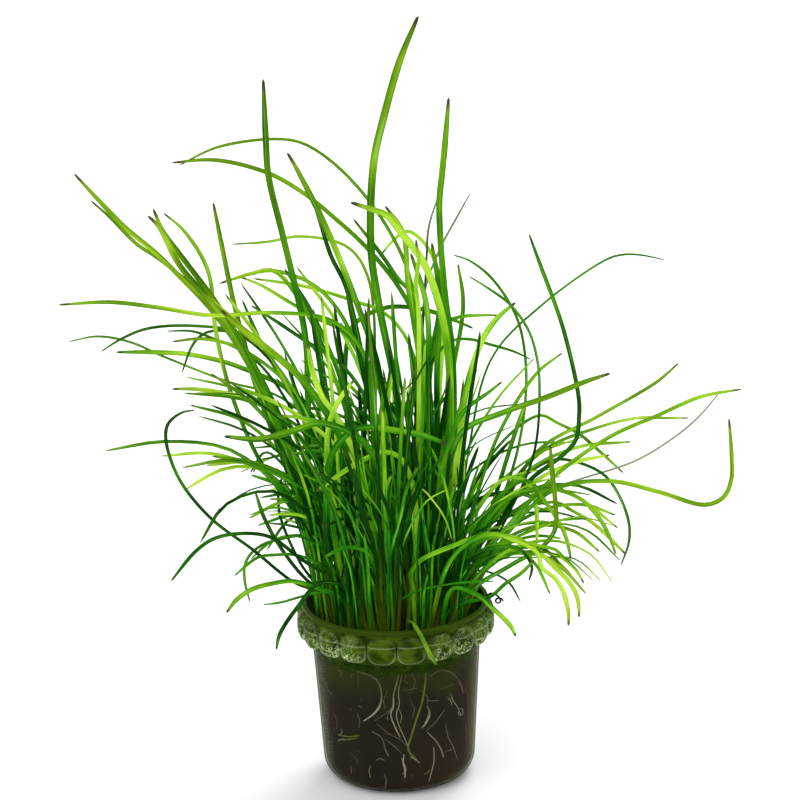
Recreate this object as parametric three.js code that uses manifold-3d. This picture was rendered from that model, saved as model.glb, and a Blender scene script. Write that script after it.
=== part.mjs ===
// Dwarf sagittaria with needle leaves, standing in brown gel in a clear culture cup.
// Millimetres, +Z up, -Y front. The origin is the centre of the cup's flat underside.
import * as THREE from "three";
import { mergeVertices } from "three/addons/utils/BufferGeometryUtils.js";
import Module from "manifold-3d";

const wasm = await Module();
wasm.setup();

// Cup
const CUP_HEIGHT = 69;
const CUP_SIDES = 60;
const WALL = 1.2;
const FOOT_RADIUS = 21.5;
const CORNER_STEPS = 2;
const BODY_LOW_RADIUS = 28.6;
const BODY_LOW_HEIGHT = 8;
const BODY_TOP_RADIUS = 31.6;
const BODY_TOP_HEIGHT = 54.5;
const RIM_RADIUS = 35;
const LIP_WIDTH = 1.8;
const COLLAR_RADIUS = 37.4;
const COLLAR_LOW = 56.2;
const COLLAR_HIGH = 66.5;
const COLLAR_CORNER = 2;
const LOBES = 20;
const LOBE_DEPTH = 2;

// Gel and roots
const GEL_TOP = 53;
const GEL_SIDES = 40;
const GAP = 0.3;
const GROOVE_GAP = 0.4;
const ROOT_RADIUS = 0.5;
const ROOT_SIDES = 5;
const ROOT_STEPS = 8;

// Leaves
const LEAF_FOOT = GEL_TOP + GAP;
const LANE_STEP = 0.78;
const FAN_START = 25;
const FAN_RATE = 0.028;
const THICKNESS_SHARE = 0.38;
const FOOT_WIDTH_SHARE = 0.75;
const OPENING_SHARE = 0.25;
const TIP_WIDTH_SHARE = 0.12;
const CLOSING_SHARE = 0.2;
const CURVE_MARKS = 120;
const STEP_LENGTH = 55;
const STEP_TURN = 0.46;
const FEWEST_STEPS = 5;
const MOST_STEPS = 13;

// Plantlets
const LESSER_LEAVES = 6;
const LESSER_WIDTH = 1.6;
const LESSER_STEPS = 4;
const LESSER_LEAN = -0.35;
const LESSER_REACH = 14;
const LESSER_REACH_RANGE = 12;
const LESSER_LENGTH = 50;
const LESSER_LENGTH_RANGE = 70;
const LESSER_LANE_SHIFT = 0.2;
const LESSER_SPREAD_AT_RIM = 0.35;
const LESSER_SPREAD_HALFWAY = 0.6;
const LESSER_HALFWAY = 0.55;
const LENGTH_SEED = 20;
const RIM_UP = 64;
const CROWN_REACH = 4.2;
const CROWN_HALF_WIDTH = 5.1;
const CROWN_HALF_DEPTH = 1.2;
const CROWN_HEIGHT = 4;
const CROWN_TOP_SHARE = 0.87;
const CROWN_SIDES = 8;

// The front view that the leaf points are measured in: its height angle, the object's lean in it,
// its distance, and the point it is aimed at.
const VIEW_RISE = THREE.MathUtils.degToRad(18.7);
const VIEW_LEAN = THREE.MathUtils.degToRad(1.6);
const VIEW_DISTANCE = 1800;
const VIEW_ACROSS = 4;
const VIEW_UP = 140;
const CLUMP_UP = 45;

const DEPTH_AXIS = new THREE.Vector3(0, 1, 0);

// Colours
const MATERIALS = {
  cup: { color: 0xc4ccc0, roughness: 0.15, metalness: 0 },
  gel: { color: 0x2d231e, roughness: 0.35, metalness: 0 },
  root: { color: 0xb9ab72, roughness: 0.6, metalness: 0 },
  dark: { color: 0x146e0a, roughness: 0.45, metalness: 0 },
  mid: { color: 0x3c8c0a, roughness: 0.45, metalness: 0 },
  olive: { color: 0x648214, roughness: 0.45, metalness: 0 },
  light: { color: 0x8cbe14, roughness: 0.45, metalness: 0 },
  bright: { color: 0xb4e61e, roughness: 0.45, metalness: 0 },
  thread: { color: 0x8f8a80, roughness: 0.6, metalness: 0 },
};

// The rows run from front to back, and each holds one lane of depth, so that no two leaves meet.
// A leaf row has the place of its foot across the gel, its width, its tone, and points across and up
// from foot to tip in the front view.
const ROWS = [
  leaf("leaf_front_drop", 6, 1.6, "light",
    [[3.2, 55, -27], [5, 54.8, -33], [7.6, 51, -38.5], [11, 44, -40.3], [14, 39, -40]]),
  plantlet("plantlet_front", -4, "mid"),
  leaf("leaf_hanging_left", -14, 1.6, "dark",
    [[-20, 68], [-31, 70], [-39, 61], [-44, 54], [-46, 50], [-47, 45]]),
  leaf("leaf_over_right_rim", 16, 1.9, "mid", [[20, 68], [29, 66], [36, 60], [42, 54], [44, 50]]),
  leaf("leaf_low_left_short", -12, 1.8, "mid",
    [[-20, 62], [-36, 70], [-42, 71], [-49, 70], [-56, 68], [-62, 64], [-66, 59]]),
  leaf("leaf_low_right_light", 10, 1.8, "light",
    [[20, 80], [35, 89], [42, 87], [52, 82], [54, 76], [59, 72], [62, 67], [64, 59], [64, 54]]),
  leaf("leaf_kinked_yellow", 7, 1.8, "light", [[5, 68], [4, 74], [8, 79], [19, 84], [35, 90]]),
  leaf("leaf_cross_left", 0, 2.6, "mid",
    [[-3, 64], [-4, 100], [-14, 124], [-30, 131], [-41, 128], [-53, 125], [-67, 126]]),
  leaf("leaf_cross_right", -19, 2.6, "mid",
    [[-25, 64], [-28, 100], [-25, 121], [-16, 129], [0, 128], [10, 126], [18, 123]]),
  plantlet("plantlet_front_right", 14, "dark"),
  leaf("leaf_low_left_arch", -10, 1.5, "dark",
    [[-18, 66], [-37, 79], [-50, 88], [-62, 89], [-71, 87], [-78, 82], [-87, 71]]),
  leaf("leaf_right_upright_olive", 19, 1.8, "olive",
    [[26, 66], [42, 77], [54, 84], [59, 91], [59, 101], [58, 111], [57, 123]]),
  leaf("leaf_low_left_hook", -21, 1.3, "dark",
    [[-27, 64], [-41, 71], [-56, 83], [-72, 95], [-84, 110], [-89, 125], [-88, 131], [-83, 135],
     [-78, 136]]),
  leaf("leaf_right_broad", 9, 2.2, "mid",
    [[11, 64], [17, 108], [24, 128], [39, 135], [56, 141], [71, 147], [80, 150]]),
  leaf("leaf_pale_wide_left", -3, 2.6, "light",
    [[-4, 64], [-16, 112], [-35, 145], [-44, 154], [-59, 166], [-68, 174]]),
  leaf("leaf_right_curl", 21, 1.7, "olive",
    [[27, 64], [40, 88], [59, 106], [80, 109], [98, 105], [116, 100], [123, 103], [126, 110],
     [126, 119], [125, 133]]),
  plantlet("plantlet_left_front", -16, "mid"),
  leaf("leaf_right_bright", 16, 1.6, "light",
    [[20, 64], [36, 86], [59, 111], [80, 126], [98, 134], [114, 141], [130, 144]]),
  leaf("leaf_left_level", -9, 1.7, "light",
    [[-9, 64], [-10, 120], [-14, 158], [-26, 170], [-48, 173], [-72, 172], [-92, 175], [-110, 177],
     [-130, 176]]),
  leaf("leaf_bright_lean", -3, 2.3, "light",
    [[-4, 64], [-5, 110], [-8, 151], [-14, 170], [-27, 203], [-40, 229], [-43, 234]]),
  leaf("leaf_bright_blunt", 4, 1.7, "bright",
    [[5, 64], [7, 130], [7, 174], [6, 184], [7, 193], [6, 201]]),
  leaf("leaf_right_yellow_wide", 12, 2.6, "bright",
    [[13, 64], [20, 105], [25, 143], [28, 154], [32, 164], [37, 171], [44, 177]]),
  leaf("leaf_left_bundle", -18, 2.4, "mid",
    [[-25, 64], [-42, 120], [-58, 155], [-69, 174], [-83, 190], [-92, 206], [-96, 210]]),
  plantlet("plantlet_middle", 5, "mid"),
  leaf("leaf_bright_wide", 14, 2.8, "bright",
    [[15, 64], [19, 120], [18, 160], [14, 179], [9, 192], [0, 204], [-5, 210], [-13, 213], [-19, 215]]),
  leaf("leaf_tall_left", -14, 2.4, "mid",
    [[-25, 64], [-34, 98], [-35, 140], [-36, 164], [-44, 200], [-50, 225], [-51, 239], [-52, 262]]),
  leaf("leaf_tall_middle", -1, 2.9, "mid",
    [[0, 64], [0, 132], [-8, 176], [-11, 197], [-10, 230], [-6, 248], [0, 269], [7, 286]]),
  leaf("leaf_tall_right", 16, 2.4, "mid",
    [[15, 64], [20, 120], [20, 156], [17, 181], [15.2, 204], [15, 216], [16, 226], [17, 236],
     [18.5, 255]]),
  leaf("leaf_left_far", -21, 2, "light",
    [[-27, 68], [-42, 115], [-57, 152], [-70, 172], [-84, 187], [-92, 195], [-104, 205], [-111, 212],
     [-124, 226]]),
  leaf("leaf_right_bend", 20, 1.7, "dark",
    [[25, 66], [36, 90], [49, 109], [62, 119], [67, 125], [68, 133], [68, 140], [62, 167],
     [53, 192], [49, 203]]),
  plantlet("plantlet_middle_left", -8, "dark"),
  leaf("leaf_left_upright", -23, 2.1, "olive",
    [[-29, 68], [-40, 105], [-55, 146], [-59, 161], [-63, 176], [-67, 195], [-71, 215]]),
  leaf("leaf_right_arch_near", 17, 1.1, "dark",
    [[24, 66], [41, 96], [51, 120], [53, 146], [52, 156], [49, 166], [42, 176], [34, 182], [26, 187]]),
  leaf("leaf_left_olive", -14, 1.7, "olive",
    [[-31, 68], [-39, 94], [-55, 120], [-65, 145], [-70, 166], [-73, 189], [-82, 204], [-90, 211]]),
  leaf("leaf_right_arch_far", 11, 1.2, "mid",
    [[18, 66], [34, 92], [44, 118], [48, 146], [46, 166], [42, 176], [34, 187], [26, 193], [20, 195]]),
  leaf("leaf_dark_arch", 3, 1.9, "olive",
    [[5, 64], [9, 120], [8, 165], [0, 182], [-12, 197], [-26, 210], [-36, 218], [-50, 226], [-70, 231],
     [-87, 230]]),
  leaf("leaf_right_fine", 20, 0.9, "dark",
    [[20, 66], [26, 120], [35, 156], [54, 176], [78, 193], [84, 195], [91, 195], [101, 193]]),
  leaf("leaf_upper_arch", 0, 1.5, "mid",
    [[2, 64], [6, 130], [5, 181], [-4, 204], [-21, 226], [-36, 237], [-46, 239], [-69, 236],
     [-84, 229]]),
  plantlet("plantlet_right_back", 14, "mid"),
  leaf("leaf_left_straight", -18, 1.9, "light",
    [[-21, 66], [-26, 110], [-38, 140], [-60, 152], [-79, 157], [-94, 158], [-108, 158]]),
  leaf("leaf_right_olive", 18, 1.5, "olive",
    [[21, 70], [38, 98], [53, 121], [74, 133], [90, 142], [98, 147], [106, 154]]),
  leaf("leaf_left_fine", -10, 1.1, "mid",
    [[-14, 66], [-22, 115], [-44, 140], [-66, 147], [-89, 156], [-103, 162], [-115, 164], [-126, 162]]),
  leaf("leaf_over_arch", -4, 1.9, "mid",
    [[-10, 66], [-20, 130], [-20, 162], [-17, 169], [-5, 175], [10, 174], [21, 170], [28, 167]]),
  leaf("leaf_right_droop", 16, 1.2, "dark",
    [[20, 71], [42, 106], [58, 117], [68, 116], [78, 111], [84, 102], [87, 93], [87, 86], [84, 77]]),
  plantlet("plantlet_left_back", -14, "olive"),
  leaf("leaf_right_thread", 12, 0.8, "thread",
    [[20, 68], [40, 100], [66, 109], [90, 117], [106, 127], [114, 134], [120, 141], [122, 144]]),
  leaf("leaf_left_thin", -4, 1.2, "olive",
    [[-4, 66], [-9, 130], [-12, 186], [-20, 198], [-38, 202], [-50, 200], [-64, 199]]),
  leaf("leaf_right_level", 14, 1.5, "light",
    [[17, 72], [38, 103], [55, 121], [74, 129], [90, 133], [101, 133], [110, 133]]),
  leaf("leaf_small_arch", 8, 1.6, "bright",
    [[10, 66], [15, 140], [16, 180], [11, 197], [3, 204], [-2, 201], [-8, 194]]),
  leaf("leaf_right_low", 12, 1.6, "olive",
    [[18, 72], [42, 96], [59, 101], [65, 98], [72, 94], [78, 89], [86, 81]]),
  plantlet("plantlet_back", 0, "mid"),
  leaf("leaf_right_short", 8.5, 1.4, "mid",
    [[13, 68], [34, 118], [53, 134], [60, 131], [68, 127], [74, 122], [85, 112]]),
];

// Roots that lie against the front wall, as points across and height, from the gel's top downwards.
const ROOTS = {
  root_left_arch: [[-22, 49], [-13, 50.6], [-7.8, 48.4], [-6, 43.6], [-6.5, 38.6], [-8.8, 34.6],
    [-12.7, 30.8]],
  root_middle: [[0.6, 50.6], [-0.5, 46.2], [-1.6, 42], [-1.7, 37.4], [-2.8, 34.4], [-1.5, 29.4],
    [0.6, 24.4]],
  root_long_stem: [[10.6, 50.6], [10.1, 44.8], [8.6, 37.4], [6.4, 30.8], [4.7, 25.2], [3.3, 19.3],
    [6.7, 14.6]],
  root_right_arch: [[12, 48.3], [15.2, 49.9], [20, 47.8], [23, 42.4], [24.6, 36.4]],
};

function leaf(name, foot, width, tone, seen) {
  return { name, foot, width, tone, seen };
}

function plantlet(name, foot, tone) {
  return { name, foot, tone };
}

// A fixed number from 0 to 1 that looks random, the same each time for the same pair.
function scatter(a, b) {
  const value = Math.sin(a * 12.9898 + b * 78.233) * 43758.5453;
  return value - Math.floor(value);
}

// A geometry as a closed solid that can be cut and joined.
function solid(geometry) {
  const flat = geometry.index ? geometry.toNonIndexed() : geometry;
  const bare = new THREE.BufferGeometry().setAttribute("position", flat.getAttribute("position"));
  const merged = mergeVertices(bare, 1e-3);
  return new wasm.Manifold(
    new wasm.Mesh({
      numProp: 3,
      vertProperties: new Float32Array(merged.getAttribute("position").array),
      triVerts: new Uint32Array(merged.index.array),
    }),
  );
}

function geometryOf(made) {
  const mesh = made.getMesh();
  const geometry = new THREE.BufferGeometry();
  geometry.setAttribute("position", new THREE.BufferAttribute(mesh.vertProperties, 3));
  geometry.setIndex(new THREE.BufferAttribute(mesh.triVerts, 1));
  return geometry;
}

// Moves each vertex of a geometry to the place that a function gives for it.
function reshape(geometry, place) {
  const position = geometry.getAttribute("position");
  const vertex = new THREE.Vector3();
  for (let i = 0; i < position.count; i += 1) {
    vertex.fromBufferAttribute(position, i);
    place(vertex);
    position.setXYZ(i, vertex.x, vertex.y, vertex.z);
  }
  return geometry;
}

// Turns a profile of radius and height about the Z axis, starting at the front.
function turned(profile, sides) {
  const points = profile.map(([radius, height]) => new THREE.Vector2(radius, height));
  return new THREE.LatheGeometry(points, sides).rotateX(Math.PI / 2);
}

// The cup's outer radius at a height between the round foot and the collar.
function bodyRadius(height) {
  const share = (height - BODY_LOW_HEIGHT) / (BODY_TOP_HEIGHT - BODY_LOW_HEIGHT);
  return BODY_LOW_RADIUS + share * (BODY_TOP_RADIUS - BODY_LOW_RADIUS);
}

// The flat foot and its round corner, drawn in by an inset from the cup's outside.
function footProfile(inset) {
  const profile = [[0, inset]];
  for (let i = 0; i <= CORNER_STEPS; i += 1) {
    const turn = (i / CORNER_STEPS) * (Math.PI / 2);
    const radius = FOOT_RADIUS + (BODY_LOW_RADIUS - inset - FOOT_RADIUS) * Math.sin(turn);
    profile.push([radius, BODY_LOW_HEIGHT - (BODY_LOW_HEIGHT - inset) * Math.cos(turn)]);
  }
  return profile;
}

function cupGeometry() {
  const outside = [
    ...footProfile(0),
    [BODY_TOP_RADIUS, BODY_TOP_HEIGHT],
    [RIM_RADIUS, COLLAR_LOW],
    [COLLAR_RADIUS, COLLAR_LOW + COLLAR_CORNER],
    [COLLAR_RADIUS, COLLAR_HIGH - COLLAR_CORNER],
    [RIM_RADIUS, COLLAR_HIGH],
    [RIM_RADIUS, CUP_HEIGHT],
  ];
  const inside = [
    [RIM_RADIUS - LIP_WIDTH, CUP_HEIGHT],
    [RIM_RADIUS - LIP_WIDTH, COLLAR_LOW],
    [BODY_TOP_RADIUS - WALL, BODY_TOP_HEIGHT],
    ...footProfile(WALL).reverse(),
  ];
  return reshape(turned([...outside, ...inside], CUP_SIDES), shapeLobe);
}

// Draws the collar in between its lobes, so that each bulges out as part of a circle.
function shapeLobe(vertex) {
  const radius = Math.hypot(vertex.x, vertex.y);
  if (radius < (RIM_RADIUS + COLLAR_RADIUS) / 2) {
    return;
  }
  const fromFront = Math.atan2(vertex.y, vertex.x) / (2 * Math.PI) + 0.25;
  const turns = fromFront * LOBES;
  const aside = 2 * (turns - Math.floor(turns + 1e-6)) - 1;
  const drawn = LOBE_DEPTH * (1 - Math.sqrt(Math.max(0, 1 - aside * aside)));
  vertex.x *= (radius - drawn) / radius;
  vertex.y *= (radius - drawn) / radius;
}

// A tube of a few flat sides along a curve.
function tube(curve, radius) {
  const points = [];
  for (let i = 0; i < ROOT_SIDES; i += 1) {
    const turn = (2 * Math.PI * i) / ROOT_SIDES;
    points.push(new THREE.Vector2(radius * Math.cos(turn), radius * Math.sin(turn)));
  }
  const settings = { steps: ROOT_STEPS, bevelEnabled: false, extrudePath: curve };
  return new THREE.ExtrudeGeometry(new THREE.Shape(points), settings);
}

// A root's route, pressed against the gel's side at the front.
function rootCurve(points) {
  const places = points.map(([across, height]) => {
    const radius = bodyRadius(height) - WALL - GAP - ROOT_RADIUS;
    return new THREE.Vector3(across, -Math.sqrt(radius * radius - across * across), height);
  });
  return new THREE.CatmullRomCurve3(places);
}

function gelGeometry() {
  const profile = [
    ...footProfile(WALL + GAP),
    [bodyRadius(GEL_TOP) - WALL - GAP, GEL_TOP],
    [0, GEL_TOP],
  ];
  let gel = solid(turned(profile, GEL_SIDES));
  for (const points of Object.values(ROOTS)) {
    gel = gel.subtract(solid(tube(rootCurve(points), ROOT_RADIUS + GROOVE_GAP)));
  }
  return geometryOf(gel);
}

// The place in the object's frame of a point that the front view shows across and up, at a given depth.
function fromView(across, up, depth) {
  const sine = Math.sin(VIEW_RISE);
  const cosine = Math.cos(VIEW_RISE);
  const aside = across * Math.cos(VIEW_LEAN) + up * Math.sin(VIEW_LEAN) - VIEW_ACROSS;
  const raised = up * Math.cos(VIEW_LEAN) - across * Math.sin(VIEW_LEAN) - VIEW_UP;
  const height =
    (VIEW_UP + raised * (1 + (depth * cosine) / VIEW_DISTANCE) - depth * sine) /
    (cosine + (raised * sine) / VIEW_DISTANCE);
  const away = depth * cosine - height * sine;
  const x = VIEW_ACROSS + aside * (1 + away / VIEW_DISTANCE);
  return new THREE.Vector3(x, depth, height);
}

// A leaf's depth grows with its distance from the foot of the clump, so the clump spreads as much
// to the front and back as across.
function laneDepth(lane, across, up) {
  const distance = Math.hypot(across, up - CLUMP_UP);
  return lane * (1 + FAN_RATE * Math.max(0, distance - FAN_START));
}

function leafCurve(foot, lane, seen) {
  const places = seen.map(([across, up, depth]) => {
    return fromView(across, up, depth ?? laneDepth(lane, across, up));
  });
  const start = new THREE.Vector3(foot, lane, LEAF_FOOT);
  return new THREE.CatmullRomCurve3([start, ...places], false, "centripetal");
}

// A blade's width along its length: narrow at the foot, full in the middle, drawn out to a point.
function bladeShare(share) {
  const opening = Math.min(1, share / OPENING_SHARE);
  const closing = Math.sqrt(Math.min(1, (1 - share) / CLOSING_SHARE));
  const atFoot = FOOT_WIDTH_SHARE + (1 - FOOT_WIDTH_SHARE) * opening;
  return atFoot * (TIP_WIDTH_SHARE + (1 - TIP_WIDTH_SHARE) * closing);
}

// Shares of a curve's length, set closer together where it bends, from its start to its end.
function stations(curve, fewest, most) {
  const reached = [0];
  let last = curve.getTangentAt(0);
  for (let i = 1; i <= CURVE_MARKS; i += 1) {
    const next = curve.getTangentAt(i / CURVE_MARKS);
    const effort = curve.getLength() / CURVE_MARKS / STEP_LENGTH + next.angleTo(last) / STEP_TURN;
    reached.push(reached[i - 1] + effort);
    last = next;
  }
  const steps = Math.min(most, Math.max(fewest, Math.round(reached[CURVE_MARKS])));
  const shares = [];
  for (let i = 0; i <= steps; i += 1) {
    const wanted = (reached[CURVE_MARKS] * i) / steps;
    shares.push(Math.max(0, reached.findIndex((effort) => effort >= wanted - 1e-9)) / CURVE_MARKS);
  }
  return shares;
}

// A blade with four faces along a curve, flat side to the front.
function bladeGeometry(curve, width, shares) {
  const steps = shares.length - 1;
  const geometry = new THREE.CylinderGeometry(1, 1, 1, 4, steps);
  const halfWidth = width / 2;
  const halfDepth = halfWidth * THICKNESS_SHARE;
  return reshape(geometry, (vertex) => {
    const share = shares[Math.round((vertex.y + 0.5) * steps)];
    const along = curve.getTangentAt(share);
    const side = new THREE.Vector3().crossVectors(DEPTH_AXIS, along).normalize();
    const face = new THREE.Vector3().crossVectors(side, along);
    const place = curve.getPointAt(share);
    const shape = bladeShare(share);
    place.addScaledVector(side, vertex.x * halfWidth * shape);
    place.addScaledVector(face, vertex.z * halfDepth * shape);
    vertex.copy(place);
  });
}

function leafGeometry(row, lane) {
  const curve = leafCurve(row.foot, lane, row.seen);
  return bladeGeometry(curve, row.width, stations(curve, FEWEST_STEPS, MOST_STEPS));
}

// The points across and up of a plantlet's lesser leaf, which leans by a share of the most, and
// with the whole clump a little to the left.
function lesserLeaf(foot, lean, plantletIndex, leafIndex) {
  const most = LESSER_REACH + LESSER_REACH_RANGE * scatter(plantletIndex, leafIndex);
  const reach = (lean + LESSER_LEAN) * most;
  const length =
    LESSER_LENGTH + LESSER_LENGTH_RANGE * scatter(plantletIndex, leafIndex + LENGTH_SEED);
  return [
    [foot + reach * LESSER_SPREAD_AT_RIM, RIM_UP],
    [foot + reach * LESSER_SPREAD_HALFWAY, RIM_UP + length * LESSER_HALFWAY],
    [foot + reach, RIM_UP + length],
  ];
}

// A flat low crown, a little narrower at its top.
function crownGeometry(foot, lane) {
  const crown = new THREE.CylinderGeometry(CROWN_TOP_SHARE, 1, CROWN_HEIGHT, CROWN_SIDES);
  crown.rotateX(Math.PI / 2).scale(CROWN_HALF_WIDTH, CROWN_HALF_DEPTH, 1);
  return crown.translate(foot, lane, LEAF_FOOT + CROWN_HEIGHT / 2);
}

function lesserGeometry(row, lane, plantletIndex, leafIndex) {
  const lean = (2 * leafIndex) / (LESSER_LEAVES - 1) - 1;
  const ownLane = lane + (leafIndex % 2 ? LESSER_LANE_SHIFT : -LESSER_LANE_SHIFT);
  const seen = lesserLeaf(row.foot, lean, plantletIndex, leafIndex);
  const curve = leafCurve(row.foot + lean * CROWN_REACH, ownLane, seen);
  return bladeGeometry(curve, LESSER_WIDTH, stations(curve, LESSER_STEPS, LESSER_STEPS));
}

// A crown with its lesser leaves, whose feet stand side by side in it.
function plantletGeometry(row, lane, index) {
  let made = solid(crownGeometry(row.foot, lane));
  for (let i = 0; i < LESSER_LEAVES; i += 1) {
    made = made.add(solid(lesserGeometry(row, lane, index, i)));
  }
  return geometryOf(made);
}

function material(name) {
  return new THREE.MeshStandardMaterial({ name, ...MATERIALS[name] });
}

function addNode(group, name, geometry, tone, foot = new THREE.Vector3()) {
  const mesh = new THREE.Mesh(geometry.translate(-foot.x, -foot.y, -foot.z), material(tone));
  mesh.name = name;
  mesh.position.copy(foot);
  group.add(mesh);
}

function build() {
  const group = new THREE.Group();
  addNode(group, "cup", cupGeometry(), "cup");
  addNode(group, "gel", gelGeometry(), "gel");
  for (const [name, points] of Object.entries(ROOTS)) {
    addNode(group, name, tube(rootCurve(points), ROOT_RADIUS), "root");
  }
  ROWS.forEach((row, index) => {
    const lane = (index - (ROWS.length - 1) / 2) * LANE_STEP;
    const geometry = row.seen ? leafGeometry(row, lane) : plantletGeometry(row, lane, index);
    addNode(group, row.name, geometry, row.tone, new THREE.Vector3(row.foot, lane, LEAF_FOOT));
  });
  return group;
}

export default build();
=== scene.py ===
"""Dwarf sagittaria with needle leaves in a clear culture cup of brown gel. Metres, +Z up, -Y front."""

import math

import bpy
import numpy as np
from bpy.props import FloatProperty, FloatVectorProperty, IntProperty, PointerProperty
from mathutils import Matrix, Vector


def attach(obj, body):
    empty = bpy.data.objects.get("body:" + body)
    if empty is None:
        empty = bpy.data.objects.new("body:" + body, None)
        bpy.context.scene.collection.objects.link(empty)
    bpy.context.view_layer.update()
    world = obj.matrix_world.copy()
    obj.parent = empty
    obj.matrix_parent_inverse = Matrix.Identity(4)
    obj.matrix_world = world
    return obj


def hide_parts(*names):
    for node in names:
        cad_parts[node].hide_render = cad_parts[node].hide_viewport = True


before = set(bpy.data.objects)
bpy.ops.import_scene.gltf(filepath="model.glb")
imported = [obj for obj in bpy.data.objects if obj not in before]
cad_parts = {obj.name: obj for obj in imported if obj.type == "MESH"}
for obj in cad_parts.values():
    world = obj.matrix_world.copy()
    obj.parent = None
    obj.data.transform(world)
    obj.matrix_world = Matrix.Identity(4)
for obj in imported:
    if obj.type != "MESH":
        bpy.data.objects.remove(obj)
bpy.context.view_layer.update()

bl_info = {
    "name": "Potted dwarf sagittaria",
    "version": (1, 0, 0),
    "blender": (4, 5, 0),
    "location": "3D View > Sidebar > Sagittaria",
    "description": "Makes a clump of needle leaves in a clear culture cup",
    "category": "Add Mesh",
}

MM = 0.001

# The cup's outside and inside, in millimetres, as the solids have them
FOOT_RADIUS = 21.5
FLAT_FOOT_SHARE = 0.8
BODY_LOW_RADIUS = 28.6
BODY_LOW_HEIGHT = 8
BODY_TOP_RADIUS = 31.6
BODY_TOP_HEIGHT = 54.5
COLLAR_LOW = 56.2
COLLAR_HIGH = 66.5
RIM_RADIUS = 35
LIP_WIDTH = 1.8
CUP_HEIGHT = 69

# Small steps in the cup's section: the ledge that carries the collar, the band between the collar and the
# rim's bead, and the step inside the collar
LEDGE_WIDTH = 1.4
LEDGE_RISE = 0.5
BAND_GAP = 0.4
BAND_INSET = 0.5
BEAD_HEIGHT = 1.1
ROUNDING = 0.3
INNER_STEP_WIDTH = 0.6
INNER_STEP_RISE = 0.8

# The heights of the rings of the cup's and the gel's walls, and how finely both are divided
GEL_RINGS = (16, 24, 32, 40)
WALL_RINGS = (*GEL_RINGS, 48)
CORNER_STEPS = 9
COLLAR_STEPS = 26
CUP_SIDES = 480
GEL_SIDES = 160

# The angles, in degrees, past which an edge stays sharp
CUP_CREASE = 40
BLADE_CREASE = 60

# The collar's lobes: how square and how flat they are, and the ridge and the seam that stand on them, with
# how milky both are. The ridge is milky all through where it is below the seam.
LOBES = 20
LOBE_SQUARENESS = 2.7
LOBE_FLATNESS = 2.4
RIDGE_PLACE = 0.93
RIDGE_WIDTH = 0.045
RIDGE_RISE = 0.18
SEAM_HEIGHT = 63.3
SEAM_WIDTH = 0.22
SEAM_RISE = 0.12
SEAM_FROM_FULLNESS = 0.3
SEAM_MILK = 0.55
UPPER_RIDGE_MILK = 0.12
LOW_EDGE_REACH = 5

# The gel, which dips a little within its edge, and the crowns that stand on it
GEL_TOP = 53
GEL_EDGE = 1.2
GEL_EDGE_DIP = 0.4
GEL_DIP = 0.5
GEL_DIP_SHARE = 0.6
GEL_MIDDLE_SHARE = 0.2
GEL_GAP = 0.08
GAP = 0.3
LEAF_FOOT = GEL_TOP + GAP
SUNK = 2.3
CROWN_SIZE = (5, 1.2, 2.6)
CROWN_RISE = 1.6
CROWN_REACH = 4.2
CROWN_SIDES = 20
CROWN_RINGS = 10
CROWN_PLACE_ON_BLADE = (0.5, 0.02)

# How the lanes of leaves spread, and the front view that the points of the rows are measured in
LANE_STEP = 0.78
FAN_START = 25
FAN_RATE = 0.028
CLUMP_UP = 45
VIEW_RISE = math.radians(18.7)
VIEW_LEAN = math.radians(1.6)
VIEW_DISTANCE = 1800
VIEW_ACROSS = 4
VIEW_UP = 140
PICTURE_CENTRE_UP = 139.84
PICTURE_WIDTH = 304
SENSOR_WIDTH = 36

# The dark rootlet at the rim: its width, and the age of the oldest roots
RIM_ROOTLET_WIDTH = 0.8
OLDEST_ROOT = 2

# How leaves grow that are laid at random: where they pass the rim, how they arch, stray and twist, and how
# much the shade of the long ones varies
RIM_UP = 64
RIM_SPREAD = 1.15
ARCH_STEPS = 5
ARCH_POWER = 1.4
DRIFT = 0.12
LANE_STRAY = 1.6
TWIST_SWING = 0.7
LOOSE_TWIST = 2.2
LONG_SHADE_STRAY = 0.05
SCATTER = (12.9898, 78.233, 43758.5453)

# The first leaves of a plantlet, which its solid has too. Reach and length each have their least and the
# range above it, and the points that a leaf passes are shares of its reach and of its length.
FIRST_LEAVES = 6
FIRST_WIDTH = 1.6
FIRST_LEAN = 0.35
FIRST_REACHES = (14, 12)
FIRST_LENGTHS = (50, 70)
FIRST_PASSES = ((0.35, 0), (0.6, 0.55), (1, 1))
FIRST_OFFSET = 0.2
LENGTH_SEED = 20

# The other leaves of a plantlet: their least and most width, then the ends of a short and a long range of
# length, of which the front lanes have only the short one. Shades have the least shift and the range above
# it, and hold for all of a plantlet.
LESSER_WIDTHS = (0.5, 1.7)
LESSER_LENGTHS = (28, 60, 106)
LESSER_SHADES = (-0.42, 0.95)
FRONT_LANES = -8

# The short leaves: how far out they stand at their feet and at the rim, and the rim's height over the feet
SHORT_REACH = 28
SHORT_LIMIT = 30
SHORT_RISE = 13

# The short and loose leaves of the clump: their master blade, then the least and the most of their width
# and of their shift in shade
LOOSE_LEAVES = {
    "short": ("short_blade", (0.6, 1.2), (-0.25, 0.3)),
    "left": ("loose_blade", (0.6, 1.7), (-0.3, 0.55)),
    "middle": ("loose_blade", (0.8, 2), (-0.4, 0.2)),
    "right": ("loose_blade", (0.7, 1.5), (-0.25, 0.45)),
}

# Where each piece's random draws start
ROOT_SEED = 3
LONG_SEED = 7
LOOSE_SEED = 11
LESSER_SEED = 31
PLANTLET_SEED = 100

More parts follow.
